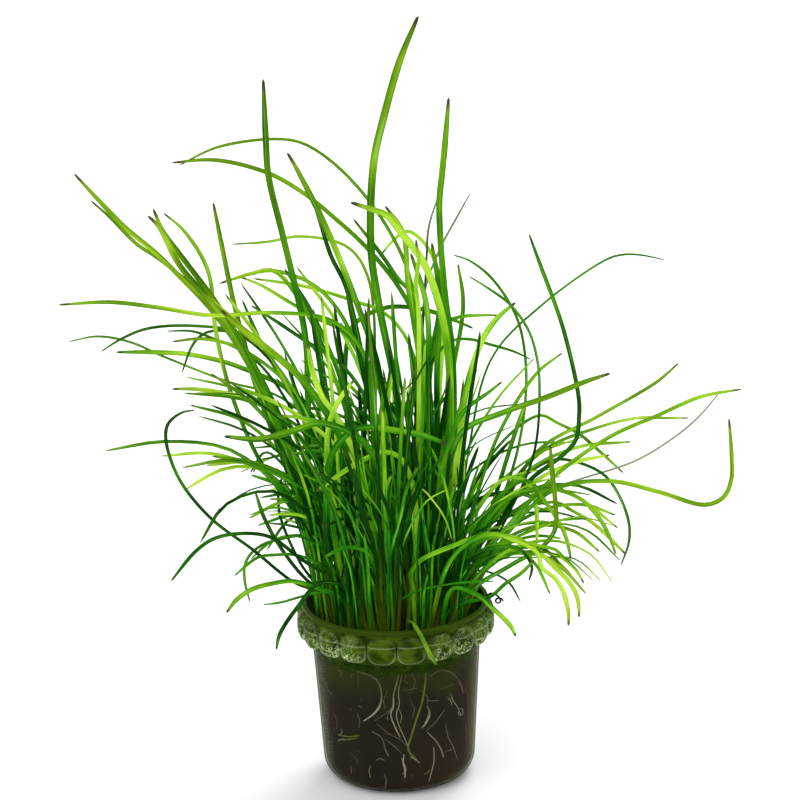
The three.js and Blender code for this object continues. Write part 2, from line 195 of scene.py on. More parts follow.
# Master blades: sides round the section, rings along the length, and the share of the front's depth that
# the channel leaves, 1 for no channel
MASTERS = {
    "root_master": (6, 18, 1),
    "long_blade": (8, 72, 0.3),
    "side_blade": (8, 44, 0.3),
    "lesser_blade": (6, 18, 1),
    "loose_blade": (6, 22, 1),
    "short_blade": (4, 9, 1),
}
RING_CROWDING = 1.25
ROUTE_MARKS = 24
DIRECTION_MARKS = 400

# A blade's width along its length, as shares of its full width and of its length
FOOT_WIDTH_SHARE = 0.75
OPENING_SHARE = 0.25
TIP_WIDTH_SHARE = 0.26
CLOSING_SHARE = 0.09

# Where each tone stands between dark green and bright yellow-green, and how far it turns olive with age
# The tones are partly painted light and shade: the bright ones stand for backlit leaves and the dark ones
# for shaded leaves, besides the leaves' own greens
TONE_LEVELS = {"dark": 0.02, "mid": 0.32, "olive": 0.4, "light": 0.5, "bright": 0.73, "thread": 0.4}
AGE_LEVELS = {"dark": 0.1, "mid": 0.6, "olive": 1, "light": 0.5, "bright": 0.1, "thread": 0}

# Long leaves that are lighter or darker than their slot's tone
SHADE_SHIFTS = {"leaf_kinked_yellow": 0.24, "leaf_low_right_light": 0.14, "leaf_front_drop": 0.2,
                "leaf_over_right_rim": 0.25, "leaf_bright_lean": -0.16, "leaf_left_bundle": 0.12}

# The greens of young and of old leaves, from dark to bright
SHADE_STOPS = (0, 0.14, 0.34, 0.55, 0.75, 1)
YOUNG_GREENS = ((7, 60, 2), (12, 88, 3), (28, 126, 8), (68, 160, 16), (130, 202, 28), (194, 244, 70))
OLD_GREENS = ((16, 60, 2), (36, 88, 3), (78, 128, 6), (116, 158, 14), (158, 200, 30), (212, 240, 80))

# The lamps and the floor, in metres
KEY_PLACE = (-0.7, -1.0, 1.3)
KEY_SIZE = 1.5
BACK_PLACE = (0.5, 1.0, 1.1)
BACK_SIZE = 0.8
LAMP_AIM = (0, 0, 0.12)
FLOOR_SIZE = 12

# The rows run from front to back, one lane of depth each. A leaf row has its name, the place of its foot
# across the gel, its width, its tone, and points across and up from foot to tip in the front view. Where a
# point has a third value, that is its own depth. A row of three values is a plantlet: its name, the place
# of its crown, and its tone.
ROWS = [
    ("leaf_front_drop", 6, 1.6, "light",
     [(3.2, 55, -27), (5, 54.8, -33), (7.6, 51, -38.5), (11, 44, -40.3), (14, 39, -40)]),
    ("plantlet_front", -4, "mid"),
    ("leaf_hanging_left", -14, 1.6, "dark",
     [(-20, 68), (-31, 70), (-39, 61), (-44, 54), (-46, 50), (-47, 45)]),
    ("leaf_over_right_rim", 16, 1.9, "mid", [(20, 68), (29, 66), (36, 60), (42, 54), (44, 50)]),
    ("leaf_low_left_short", -12, 1.8, "mid",
     [(-20, 62), (-36, 70), (-42, 71), (-49, 70), (-56, 68), (-62, 64), (-66, 59)]),
    ("leaf_low_right_light", 10, 1.8, "light",
     [(20, 80), (35, 89), (42, 87), (52, 82), (54, 76), (59, 72), (62, 67), (64, 59), (64, 54)]),
    ("leaf_kinked_yellow", 7, 1.8, "light", [(5, 68), (4, 74), (8, 79), (19, 84), (35, 90)]),
    ("leaf_cross_left", 0, 2.6, "mid",
     [(-3, 64), (-4, 100), (-14, 124), (-30, 131), (-41, 128), (-53, 125), (-67, 126)]),
    ("leaf_cross_right", -19, 2.6, "mid",
     [(-25, 64), (-28, 100), (-25, 121), (-16, 129), (0, 128), (10, 126), (18, 123)]),
    ("plantlet_front_right", 14, "dark"),
    ("leaf_low_left_arch", -10, 1.5, "dark",
     [(-18, 66), (-37, 79), (-50, 88), (-62, 89), (-71, 87), (-78, 82), (-87, 71)]),
    ("leaf_right_upright_olive", 19, 1.8, "olive",
     [(26, 66), (42, 77), (54, 84), (59, 91), (59, 101), (58, 111), (57, 123)]),
    ("leaf_low_left_hook", -21, 1.3, "dark",
     [(-27, 64), (-41, 71), (-56, 83), (-72, 95), (-84, 110), (-89, 125), (-88, 131), (-83, 135),
      (-78, 136)]),
    ("leaf_right_broad", 9, 2.2, "mid",
     [(11, 64), (17, 108), (24, 128), (39, 135), (56, 141), (71, 147), (80, 150)]),
    ("leaf_pale_wide_left", -3, 2.6, "light",
     [(-4, 64), (-16, 112), (-35, 145), (-44, 154), (-59, 166), (-68, 174)]),
    ("leaf_right_curl", 21, 1.7, "olive",
     [(27, 64), (40, 88), (59, 106), (80, 109), (98, 105), (116, 100), (123, 103), (126, 110),
      (126, 119), (125, 133)]),
    ("plantlet_left_front", -16, "mid"),
    ("leaf_right_bright", 16, 1.6, "light",
     [(20, 64), (36, 86), (59, 111), (80, 126), (98, 134), (114, 141), (130, 144)]),
    ("leaf_left_level", -9, 1.7, "light",
     [(-9, 64), (-10, 120), (-14, 158), (-26, 170), (-48, 173), (-72, 172), (-92, 175), (-110, 177),
      (-130, 176)]),
    ("leaf_bright_lean", -3, 2.3, "light",
     [(-4, 64), (-5, 110), (-8, 151), (-14, 170), (-27, 203), (-40, 229), (-43, 234)]),
    ("leaf_bright_blunt", 4, 1.7, "bright",
     [(5, 64), (7, 130), (7, 174), (6, 184), (7, 193), (6, 201)]),
    ("leaf_right_yellow_wide", 12, 2.6, "bright",
     [(13, 64), (20, 105), (25, 143), (28, 154), (32, 164), (37, 171), (44, 177)]),
    ("leaf_left_bundle", -18, 2.4, "mid",
     [(-25, 64), (-42, 120), (-58, 155), (-69, 174), (-83, 190), (-92, 206), (-96, 210)]),
    ("plantlet_middle", 5, "mid"),
    ("leaf_bright_wide", 14, 2.8, "bright",
     [(15, 64), (19, 120), (18, 160), (14, 179), (9, 192), (0, 204), (-5, 210), (-13, 213),
      (-19, 215)]),
    ("leaf_tall_left", -14, 2.4, "mid",
     [(-25, 64), (-34, 98), (-35, 140), (-36, 164), (-44, 200), (-50, 225), (-51, 239), (-52, 262)]),
    ("leaf_tall_middle", -1, 2.9, "mid",
     [(0, 64), (0, 132), (-8, 176), (-11, 197), (-10, 230), (-6, 248), (0, 269), (7, 286)]),
    ("leaf_tall_right", 16, 2.4, "mid",
     [(15, 64), (20, 120), (20, 156), (17, 181), (15.2, 204), (15, 216), (16, 226), (17, 236),
      (18.5, 255)]),
    ("leaf_left_far", -21, 2, "light",
     [(-27, 68), (-42, 115), (-57, 152), (-70, 172), (-84, 187), (-92, 195), (-104, 205), (-111, 212),
      (-124, 226)]),
    ("leaf_right_bend", 20, 1.7, "dark",
     [(25, 66), (36, 90), (49, 109), (62, 119), (67, 125), (68, 133), (68, 140), (62, 167),
      (53, 192), (49, 203)]),
    ("plantlet_middle_left", -8, "dark"),
    ("leaf_left_upright", -23, 2.1, "olive",
     [(-29, 68), (-40, 105), (-55, 146), (-59, 161), (-63, 176), (-67, 195), (-71, 215)]),
    ("leaf_right_arch_near", 17, 1.1, "dark",
     [(24, 66), (41, 96), (51, 120), (53, 146), (52, 156), (49, 166), (42, 176), (34, 182),
      (26, 187)]),
    ("leaf_left_olive", -14, 1.7, "olive",
     [(-31, 68), (-39, 94), (-55, 120), (-65, 145), (-70, 166), (-73, 189), (-82, 204),
      (-90, 211)]),
    ("leaf_right_arch_far", 11, 1.2, "mid",
     [(18, 66), (34, 92), (44, 118), (48, 146), (46, 166), (42, 176), (34, 187), (26, 193),
      (20, 195)]),
    ("leaf_dark_arch", 3, 1.9, "olive",
     [(5, 64), (9, 120), (8, 165), (0, 182), (-12, 197), (-26, 210), (-36, 218), (-50, 226), (-70, 231),
      (-87, 230)]),
    ("leaf_right_fine", 20, 0.9, "dark",
     [(20, 66), (26, 120), (35, 156), (54, 176), (78, 193), (84, 195), (91, 195), (101, 193)]),
    ("leaf_upper_arch", 0, 1.5, "mid",
     [(2, 64), (6, 130), (5, 181), (-4, 204), (-21, 226), (-36, 237), (-46, 239), (-69, 236),
      (-84, 229)]),
    ("plantlet_right_back", 14, "mid"),
    ("leaf_left_straight", -18, 1.9, "light",
     [(-21, 66), (-26, 110), (-38, 140), (-60, 152), (-79, 157), (-94, 158), (-108, 158)]),
    ("leaf_right_olive", 18, 1.5, "olive",
     [(21, 70), (38, 98), (53, 121), (74, 133), (90, 142), (98, 147), (106, 154)]),
    ("leaf_left_fine", -10, 1.1, "mid",
     [(-14, 66), (-22, 115), (-44, 140), (-66, 147), (-89, 156), (-103, 162), (-115, 164),
      (-126, 162)]),
    ("leaf_over_arch", -4, 1.9, "mid",
     [(-10, 66), (-20, 130), (-20, 162), (-17, 169), (-5, 175), (10, 174), (21, 170), (28, 167)]),
    ("leaf_right_droop", 16, 1.2, "dark",
     [(20, 71), (42, 106), (58, 117), (68, 116), (78, 111), (84, 102), (87, 93), (87, 86),
      (84, 77)]),
    ("plantlet_left_back", -14, "olive"),
    ("leaf_right_thread", 12, 0.8, "thread",
     [(20, 68), (40, 100), (66, 109), (90, 117), (106, 127), (114, 134), (120, 141), (122, 144)]),
    ("leaf_left_thin", -4, 1.2, "olive",
     [(-4, 66), (-9, 130), (-12, 186), (-20, 198), (-38, 202), (-50, 200), (-64, 199)]),
    ("leaf_right_level", 14, 1.5, "light",
     [(17, 72), (38, 103), (55, 121), (74, 129), (90, 133), (101, 133), (110, 133)]),
    ("leaf_small_arch", 8, 1.6, "bright",
     [(10, 66), (15, 140), (16, 180), (11, 197), (3, 204), (-2, 201), (-8, 194)]),
    ("leaf_right_low", 12, 1.6, "olive",
     [(18, 72), (42, 96), (59, 101), (65, 98), (72, 94), (78, 89), (86, 81)]),
    ("plantlet_back", 0, "mid"),
    ("leaf_right_short", 8.5, 1.4, "mid",
     [(13, 68), (34, 118), (53, 134), (60, 131), (68, 127), (74, 122), (85, 112)]),
]

# More leaves of the clump, by the side that they grow to, and the two dry threads. Each has its lane, the
# place of its foot, its width, its tone, and points across and up to its tip.
LESSER_ROWS = {
    "lesser_leaves_left": [
        (2.4, -20, 1.7, "mid",
         [(-26, 68), (-40, 112), (-56, 150), (-74, 178), (-91, 193), (-100, 199), (-110, 209),
          (-118, 216)]),
        (-1.6, -17, 2.1, "mid",
         [(-24, 64), (-40, 120), (-57, 156), (-70, 177), (-82, 193), (-90, 204), (-94, 213)]),
        (9.1, -12, 1.3, "dark",
         [(-18, 66), (-26, 120), (-40, 150), (-60, 165), (-78, 168), (-96, 167), (-106, 163),
          (-114, 158)]),
        (6.2, -10, 1.1, "dark",
         [(-20, 66), (-24, 90), (-38, 130), (-55, 155), (-73, 164), (-79, 166), (-89, 166)]),
        (4.1, -8, 1.5, "mid",
         [(-16, 66), (-20, 100), (-36, 138), (-58, 158), (-74, 163), (-87, 162)]),
        (7.6, -11, 1.2, "dark",
         [(-18, 66), (-26, 110), (-44, 148), (-60, 164), (-72, 166), (-78, 162), (-83, 150)]),
        (-3.4, -13, 1.8, "light",
         [(-20, 66), (-30, 112), (-46, 134), (-60, 141), (-70, 143), (-78, 144), (-87, 144)]),
        (-5.6, -15, 1.5, "dark", [(-24, 62), (-36, 72), (-42, 79), (-48, 88), (-52, 96), (-55, 105)]),
        (-9.4, -12, 1.1, "mid",
         [(-18, 66), (-26, 80), (-38, 88), (-45, 87), (-52, 85), (-57, 81), (-59, 77), (-59, 71),
          (-57, 63)]),
        (-11.2, -14, 1.4, "mid", [(-20, 66), (-28, 76), (-40, 81), (-47, 81), (-54, 80), (-63, 73)]),
        (-14.6, -11, 1.2, "olive", [(-22, 66), (-30, 67), (-38, 65), (-45, 63), (-52, 62)]),
        (1.1, -16, 1.1, "dark",
         [(-24, 62), (-36, 75), (-40, 82), (-44, 91), (-46, 98), (-46, 106), (-44, 113)]),
        (3.3, -14, 1.2, "mid",
         [(-20, 66), (-30, 92), (-41, 107), (-45, 111), (-51, 115), (-54, 115), (-56, 112)]),
        (8.4, -12, 1.2, "dark", [(-19, 66), (-28, 94), (-40, 110), (-51, 120), (-57, 112)]),
        (5.4, -7, 1.7, "light",
         [(-6, 64), (-12, 100), (-22, 140), (-36, 174), (-48, 189), (-56, 188), (-69, 184)]),
        (-7.4, -9, 1.6, "mid", [(-14, 64), (-26, 96), (-42, 122), (-58, 140), (-72, 150)]),
        (10.6, -15, 1.4, "olive", [(-20, 66), (-30, 96), (-44, 118), (-60, 132), (-80, 138)]),
        (12.4, -10, 1.6, "mid", [(-16, 66), (-26, 104), (-38, 136), (-52, 160), (-60, 178)]),
    ],
    "lesser_leaves_top": [
        (0.9, -6, 1.7, "dark", [(-4, 64), (-8, 120), (-15, 160), (-21, 184), (-26, 194), (-30, 206),
                                (-33, 215)]),
        (6.9, -4, 1.8, "light",
         [(-6, 64), (-8, 100), (-12, 140), (-20, 168), (-32, 183), (-48, 189), (-56, 188),
          (-69, 184)]),
        (5.8, 1, 1.5, "bright",
         [(2, 64), (-2, 110), (-10, 150), (-22, 166), (-32, 171), (-42, 177), (-54, 184),
          (-62, 187)]),
        (9.9, 4, 1.5, "bright",
         [(8, 64), (8, 120), (4, 160), (-6, 173), (-16, 177), (-36, 183), (-56, 186)]),
        (3.6, -2, 1.5, "mid",
         [(0, 64), (-2, 100), (-8, 130), (-21, 152), (-37, 163), (-49, 171), (-57, 176)]),
        (7.2, 5, 1.7, "mid", [(9, 64), (10, 120), (9, 160), (5, 180), (0, 185), (-7, 195), (-18, 209)]),
        (-13.6, 3, 1.9, "bright", [(4, 64), (6, 100), (0, 118), (-6, 120), (-16, 116), (-32, 105)]),
        (-10.4, -7, 2.4, "bright",
         [(-8, 64), (-14, 110), (-25, 135), (-29, 140), (-32, 147), (-34, 154), (-35, 162)]),
        (-10.9, -13, 2, "bright", [(-20, 64), (-27, 104), (-27, 130), (-23, 140), (-17, 148)]),
        (-16, -2, 1.5, "bright", [(-6, 64), (-7, 78), (-7, 92), (-6, 104), (-3, 112)]),
        (2.1, 8, 2, "light", [(9, 64), (11, 110), (8, 150), (3, 184), (1, 204), (-6, 214)]),
        (4.6, 10, 2.2, "mid", [(11, 64), (14, 110), (14, 150), (15, 180), (12, 200)]),
        (-2.6, 7, 2.1, "mid", [(8, 64), (11, 108), (11, 150), (10, 176), (4, 196)]),
        (1.7, -8, 1.9, "mid", [(-9, 64), (-14, 110), (-22, 146), (-33, 172), (-44, 190)]),
        (11.9, 7, 1.7, "light", [(8, 64), (14, 110), (20, 150), (24, 176), (22, 192)]),
    ],
    "lesser_leaves_right": [
        (4.9, 5, 1.5, "olive", [(6, 64), (8, 140), (14, 166), (21, 171), (29, 172), (38, 172)]),
        (8.8, 1, 1.2, "dark",
         [(2, 64), (4, 110), (10, 150), (19, 162), (26, 163), (34, 161), (44, 158), (50, 155)]),
        (-4.3, 10, 1.8, "olive", [(12, 64), (16, 115), (24, 135), (34, 143), (39, 147)]),
        (7.9, 14, 1.5, "light",
         [(20, 68), (30, 84), (44, 98), (59, 106), (65, 104), (72, 100), (78, 95), (83, 91)]),
        (-6.1, 12, 1.6, "light",
         [(18, 68), (30, 90), (44, 104), (58, 106), (69, 102), (74, 97), (77, 93), (80, 87),
          (82, 81)]),
        (-2.9, 11, 1.6, "bright",
         [(14, 68), (28, 96), (40, 110), (48, 109), (51, 103), (52, 96), (52, 85)]),
        (-8.4, 13, 1.7, "light",
         [(18, 68), (30, 92), (42, 107), (49, 109), (56, 100), (60, 94), (63, 88), (65, 79)]),
        (-9.9, 14, 1.8, "bright",
         [(20, 74), (30, 86), (42, 88), (54, 81), (59, 76), (64, 71), (67, 66), (68, 61), (68, 57)]),
        (-12.1, 13, 1.5, "light",
         [(20, 70), (30, 82), (42, 86), (55, 84), (59, 83), (63, 79), (67, 75), (70, 70)]),
        (-13.4, 12, 1.3, "mid", [(18, 68), (30, 82), (42, 84), (51, 78), (54, 73), (57, 66)]),
        (-14.4, 13, 1.2, "dark", [(18, 68), (32, 82), (44, 84), (50, 77), (49, 71)]),
        (-15.2, 10, 1.4, "mid", [(20, 61), (25, 63), (34, 65), (40, 70), (46, 74), (51, 79)]),
        (-19, -3, 0.9, "light", [(-5, 59), (-1, 63), (6, 67), (14, 69), (24, 70.5), (36, 71)]),
        (-14.6, 8, 0.7, "bright", [(6, 76), (5, 98), (8, 106), (13, 101), (17, 95), (20, 86)]),
        (3.1, 15, 1.6, "bright", [(20, 68), (34, 92), (50, 108), (66, 116), (80, 119)]),
        (10.2, 13, 1.3, "light", [(19, 68), (34, 98), (50, 114), (68, 122), (88, 124)]),
        (12.7, 16, 1.5, "mid", [(24, 68), (38, 88), (54, 98), (70, 100), (82, 96)]),
        (14.9, 14, 1.4, "olive", [(22, 68), (36, 84), (52, 92), (66, 90), (76, 82)]),
        (1.4, 17, 1.7, "mid", [(24, 66), (34, 96), (42, 122), (48, 140)]),
        (6.4, 12, 1.6, "light", [(18, 66), (28, 100), (38, 128), (52, 150), (62, 158)]),
    ],
    "dry_threads": [
        (10.8, 3, 0.9, "dark", [(6, 64), (8, 150), (10, 192), (11, 206), (16, 221)]),
        (13.1, 5, 0.9, "dark",
         [(8, 64), (8, 140), (9, 177), (10, 184), (16, 199), (22, 210), (27, 219)]),
    ],
}

# Thick roots on the gel's front: width, age from 0 for the palest to 2 for the darkest, then points across
# and height along each.
ROOTS = {
    "root_left_arch": (0.5, 0.3, [(-22, 49), (-13, 50.6), (-7.8, 48.4), (-6, 43.6), (-6.5, 38.6),
                                  (-8.8, 34.6), (-12.7, 30.8)]),
    "root_middle": (0.45, 0.1, [(0.6, 50.6), (-0.5, 46.2), (-1.6, 42), (-1.7, 37.4), (-2.8, 34.4),
                                (-1.5, 29.4), (0.6, 24.4)]),
    "root_long_stem": (0.8, 1.4, [(10.6, 50.6), (10.1, 44.8), (8.6, 37.4), (6.4, 30.8), (4.7, 25.2),
                                  (3.3, 19.3), (6.7, 14.6)]),
    "root_right_arch": (0.5, 0.7, [(12, 48.3), (15.2, 49.9), (20, 47.8), (23, 42.4), (24.6, 36.4)]),
}

# Fine roots beside them, listed in the same way
FINE_ROOTS = {
    "fine_roots_left": [
        (0.42, 0, [(-6.1, 39.5), (-7.2, 36.4), (-9.4, 33.6), (-13.2, 30.4)]),
        (0.51, 1.4, [(-22.8, 21.6), (-19.1, 22.5), (-14.6, 24.2)]),
        (0.42, 1.4, [(-22.5, 19.8), (-19.4, 21.1), (-15.6, 23)]),
        (0.3, 0.5, [(-21.7, 25), (-21.2, 23.4), (-22.5, 21.4)]),
        (0.3, 0.4, [(-22.9, 18.9), (-21.4, 20.4), (-18.3, 21.4)]),
        (0.34, 0.5, [(-9.9, 26.7), (-6.5, 24.5), (-5.1, 19.4), (-4, 16.6)]),
        (0.3, 0.6, [(-5.2, 24), (-1.8, 21), (0.9, 17.8)]),
        (0.26, 1, [(-14.4, 50.2), (-14.6, 44.3)]),
        (0.22, 1, [(-20, 49.6), (-21.4, 46.6)]),
        (0.22, 1, [(-16.6, 50), (-17.6, 46)]),
        (0.26, 0.3, [(-10.9, 12.5), (-11.5, 10), (-11.1, 7.2)]),
        (0.22, 0.3, [(-18.4, 10.6), (-18.2, 7.3)]),
        (0.26, 0.3, [(-6, 9.2), (-5.2, 6.8), (-5.9, 3.2)]),
        (0.22, 0.6, [(-15.3, 33.5), (-14.4, 30.3), (-14.8, 27.3)]),
        (0.22, 0.6, [(-14.6, 36.6), (-13.4, 36.1)]),
        (0.22, 0.7, [(-8.9, 31.2), (-4.9, 34.4), (-2.2, 37)]),
        (0.22, 0.8, [(-27, 40.9), (-25.6, 38.4), (-24.4, 37.3)]),
        (0.26, 0.7, [(-8.1, 30.3), (-4.3, 26.7), (0.6, 23.6), (3, 20.4)]),
        (0.22, 0.4, [(-8.9, 14.8), (-7.2, 15.7), (-5.5, 14.9)]),
        (0.22, 0.8, [(-24, 30), (-23, 26.6), (-23.4, 23)]),
        (0.22, 0.7, [(-19, 16), (-16.4, 14.4), (-15.6, 12)]),
    ],
    "fine_roots_middle": [
        (0.3, 0.2, [(1.8, 50.6), (0.8, 46), (0.2, 42.6), (0.6, 38.3), (-0.7, 34.6), (0, 30),
                     (2, 24.6), (4.2, 17.8)]),
        (0.26, 0.5, [(-1.4, 40), (-2.6, 36), (-4, 34), (-3.8, 31.5)]),
        (0.26, 0.8, [(3.3, 50.6), (2.8, 47.7), (4, 46.6)]),
        (0.26, 1, [(5.4, 50.6), (6.6, 47.3), (5.3, 43.6)]),
        (0.51, 0, [(1.7, 17.5), (1.3, 14.1), (1.9, 10.7), (1.8, 7.5)]),
        (0.26, 0.2, [(0.7, 16.1), (2.3, 11.1), (0.9, 9.3)]),
        (0.34, 0.3, [(4, 16.4), (5.9, 15), (7.6, 13.2)]),
        (0.26, 0.7, [(-3.8, 44), (-5.2, 40.1), (-4.9, 36.3)]),
        (0.22, 0.8, [(1.4, 43.9), (4, 44.2), (7.4, 44.3)]),
        (0.22, 0.4, [(0.4, 36.3), (1.2, 33.4), (0.7, 30.6)]),
        (0.22, 0.6, [(4.6, 40), (6, 36), (5.2, 32.4)]),
    ],
    "fine_roots_right": [
        (0.51, 0, [(10.8, 36.5), (11.8, 33.7), (10.9, 30.5), (8.6, 27.6)]),
        (0.3, 0.1, [(11.4, 34.8), (11, 32), (9.7, 29.4)]),
        (0.22, 0.4, [(10.6, 38.6), (14.2, 37.9), (21.7, 35.4)]),
        (0.26, 0.5, [(17.3, 33.3), (14.1, 29.5), (9.9, 26)]),
        (0.3, 0.1, [(19.7, 39.2), (20.5, 35.9), (22.2, 32.2), (23.4, 28)]),
        (0.22, 0, [(22.6, 31.4), (24.2, 30), (23.9, 28), (22.7, 28.6), (22.2, 30.7)]),
        (0.22, 0.6, [(15.9, 42), (18.7, 42.5), (21.2, 42.2)]),
        (0.47, 0, [(10.6, 25.7), (13.9, 21), (15.7, 16.9), (16.5, 13.4)]),
        (0.26, 0.5, [(17.5, 27.4), (18.3, 21.8), (20.1, 16.6), (21.8, 9.9)]),
        (0.22, 0.4, [(17.3, 15.8), (19.9, 15.5)]),
        (0.34, 0.2, [(12.9, 19.1), (12.8, 12.9), (12, 9.6), (10.7, 4.9)]),
        (0.26, 0.3, [(11.4, 9.8), (9.2, 8.3)]),
        (0.22, 0.5, [(25.2, 38), (26.4, 34.3)]),
        (0.26, 0.6, [(8.6, 43.3), (11.2, 39.6), (10.9, 37)]),
        (0.22, 0.1, [(18.6, 37.7), (20, 35), (19.6, 34.2)]),
        (0.22, 0.7, [(25, 24), (25.4, 18)]),
    ],
}

# The rootlet that curls over the right of the rim, in the object's own frame
RIM_ROOTLET = [(31, -1, 60), (33, -1, 66), (34.6, -1, 69.7), (36.4, -1.2, 70.6), (38.6, -1.6, 69.4),
               (39.6, -1.4, 67.4), (38.8, -0.8, 66.2), (37.6, -0.9, 67), (38.2, -1.3, 68.4),
               (39.8, -1.8, 68.6), (40.6, -2.2, 67)]


# Sizes and colours that a user would change


def linear(red, green, blue):
    """A colour on the 0 to 255 scale as the linear one that shaders take."""
    shares = [value / 255 for value in (red, green, blue)]
    return tuple(s / 12.92 if s <= 0.04045 else ((s + 0.055) / 1.055) ** 2.4 for s in shares)


def colour_property(name, description, red, green, blue):
    return FloatVectorProperty(name=name, description=description, subtype="COLOR", size=3,
                               min=0, max=1, default=linear(red, green, blue))


def size_property(name, description, millimetres):
    return FloatProperty(name=name, description=description, default=millimetres * MM, unit="LENGTH")


def count_property(name, description, default, least=1):
    return IntProperty(name=name, description=description, default=default, min=least)


def power_property(name, description, watts):
    return FloatProperty(name=name, description=description, default=watts, unit="POWER")


class CupSettings(bpy.types.PropertyGroup):
    wall: size_property("Wall", "Thickness of the cup's wall", 0.8)
    lobe_rise: size_property("Lobe rise", "How far each lobe stands out of the collar", 2.3)
    tint: colour_property("Tint", "Colour of the clear wall's edge", 92, 95, 76)
    # The collar's olive colours are painted refraction: they stand for the leaves seen through the clear
    # plastic
    collar_tint: colour_property("Collar", "Colour of the plastic in the collar", 36, 62, 4)
    collar_light: colour_property("Collar light", "Colour of the collar's lighter patches", 82, 110, 24)
    collar_clear: colour_property("Collar glow", "Colour of light that passes the collar", 120, 160, 40)
    band: colour_property("Band", "Colour of the band under the rim", 62, 88, 16)
    # The cream colour serves the milky lobe edges and the painted sparkle
    cream: colour_property("Edge", "Colour of the milky edges of the lobes", 208, 224, 164)


class GelSettings(bpy.types.PropertyGroup):
    brown: colour_property("Gel", "Colour of the gel", 35, 31, 23)
    patch: colour_property("Patches", "Colour of the gel's browner patches", 46, 35, 20)
    green: colour_property("Upper gel", "Colour of the gel near its top", 46, 52, 14)
    speck: colour_property("Specks", "Colour of the pale specks in the gel", 96, 84, 58)


class RootSettings(bpy.types.PropertyGroup):
    pale: colour_property("Young root", "Colour of the palest roots", 160, 152, 122)
    brown: colour_property("Old root", "Colour of the older roots", 100, 80, 56)
    green: colour_property("Green root", "Colour of the roots that turn green", 98, 106, 32)
    upper: colour_property("Upper root", "Colour of the roots near the gel's top", 76, 86, 22)
    dark: colour_property("Dark root", "Colour of the oldest roots", 24, 20, 10)
    stain: colour_property("Stain", "Colour of the roots' stains", 62, 48, 30)


class LeafSettings(bpy.types.PropertyGroup):
    thickness: FloatProperty(name="Thickness", description="Thickness as a share of the width",
                             default=0.34, subtype="FACTOR", min=0.1, max=1)
    twist: FloatProperty(name="Twist", description="Most that a long leaf turns about its length",
                         default=math.radians(24), subtype="ANGLE")
    lesser_count: count_property("Leaves in a plantlet", "Leaves that grow from a crown", 24, FIRST_LEAVES)
    short_count: count_property("Short leaves", "Short leaves that stand inside the rim", 170)
    left_count: count_property("Left leaves", "Leaves that arch over to the left", 26)
    middle_count: count_property("Middle leaves", "Leaves that stand in the middle", 32)
    right_count: count_property("Right leaves", "Leaves that arch over to the right", 20)
    # Pale midribs: their own pale colour, with a painted highlight along them
    midrib_and_highlight: colour_property("Midrib", "Colour of the leaves' pale midribs", 150, 206, 60)
    # Glints are painted highlights: pale streaks beside the midribs
    glint: colour_property("Glint", "Colour of the light streaks beside the midrib", 156, 224, 110)
    # The dark leaf edges are painted shade on the sides of the rounded blades
    edge: colour_property("Leaf edge", "Colour of the leaves' dark edges", 6, 64, 4)
    foot: colour_property("Foot", "Colour of the leaves' feet", 138, 156, 24)
    old: colour_property("Old foot", "Colour of the feet of the oldest leaves", 96, 84, 26)
    dry: colour_property("Dry end", "Colour of the leaves' drying ends", 116, 112, 40)
    tip: colour_property("Tip", "Colour of the leaves' dry tips", 58, 50, 34)
    thread_dark: colour_property("Dark thread", "Darker colour of the dry threads", 62, 42, 58)
    thread_pale: colour_property("Pale thread", "Paler colour of the dry threads", 156, 146, 144)


class StageSettings(bpy.types.PropertyGroup):
    floor: colour_property("Floor", "Colour of the floor", 250, 250, 250)
    floor_shade: colour_property("Floor shade", "Colour of the floor's faint clouds", 236, 236, 236)
    key: power_property("Key light", "Power of the large lamp at the front left", 8)
    back: power_property("Back light", "Power of the lamp behind the leaves", 14)
    sky: FloatProperty(name="Room light", description="Strength of the even light all round", default=0.8)


# Shader nodes


class Value:
    """A node's output that takes part in arithmetic; each operator adds a Math node."""

    def __init__(self, graph, socket):
        self.graph = graph
        self.socket = socket

    def other(self, name):
        """Another output of the same node."""
        return Value(self.graph, self.socket.node.outputs[name])

    def math(self, operation, *values):
        return self.graph.node("ShaderNodeMath", {"operation": operation}, dict(enumerate(values)))

    def __add__(self, value):
        return self.math("ADD", self, value)

    __radd__ = __add__

    def __mul__(self, value):
        return self.math("MULTIPLY", self, value)

    __rmul__ = __mul__

    def __sub__(self, value):
        return self.math("SUBTRACT", self, value)

    def __rsub__(self, value):
        return self.math("SUBTRACT", value, self)

    def __pow__(self, value):
        return self.math("POWER", self, value)

    def __abs__(self):
        return self.math("ABSOLUTE", self)

    def step(self, low, high):
        """Rises smoothly from 0 at low to 1 at high."""
        settings = {"interpolation_type": "SMOOTHSTEP"}
        return self.graph.node("ShaderNodeMapRange", settings, {0: self, 1: low, 2: high})

    def fall(self, low, high):
        """Falls smoothly from 1 at low to 0 at high."""
        return 1 - self.step(low, high)


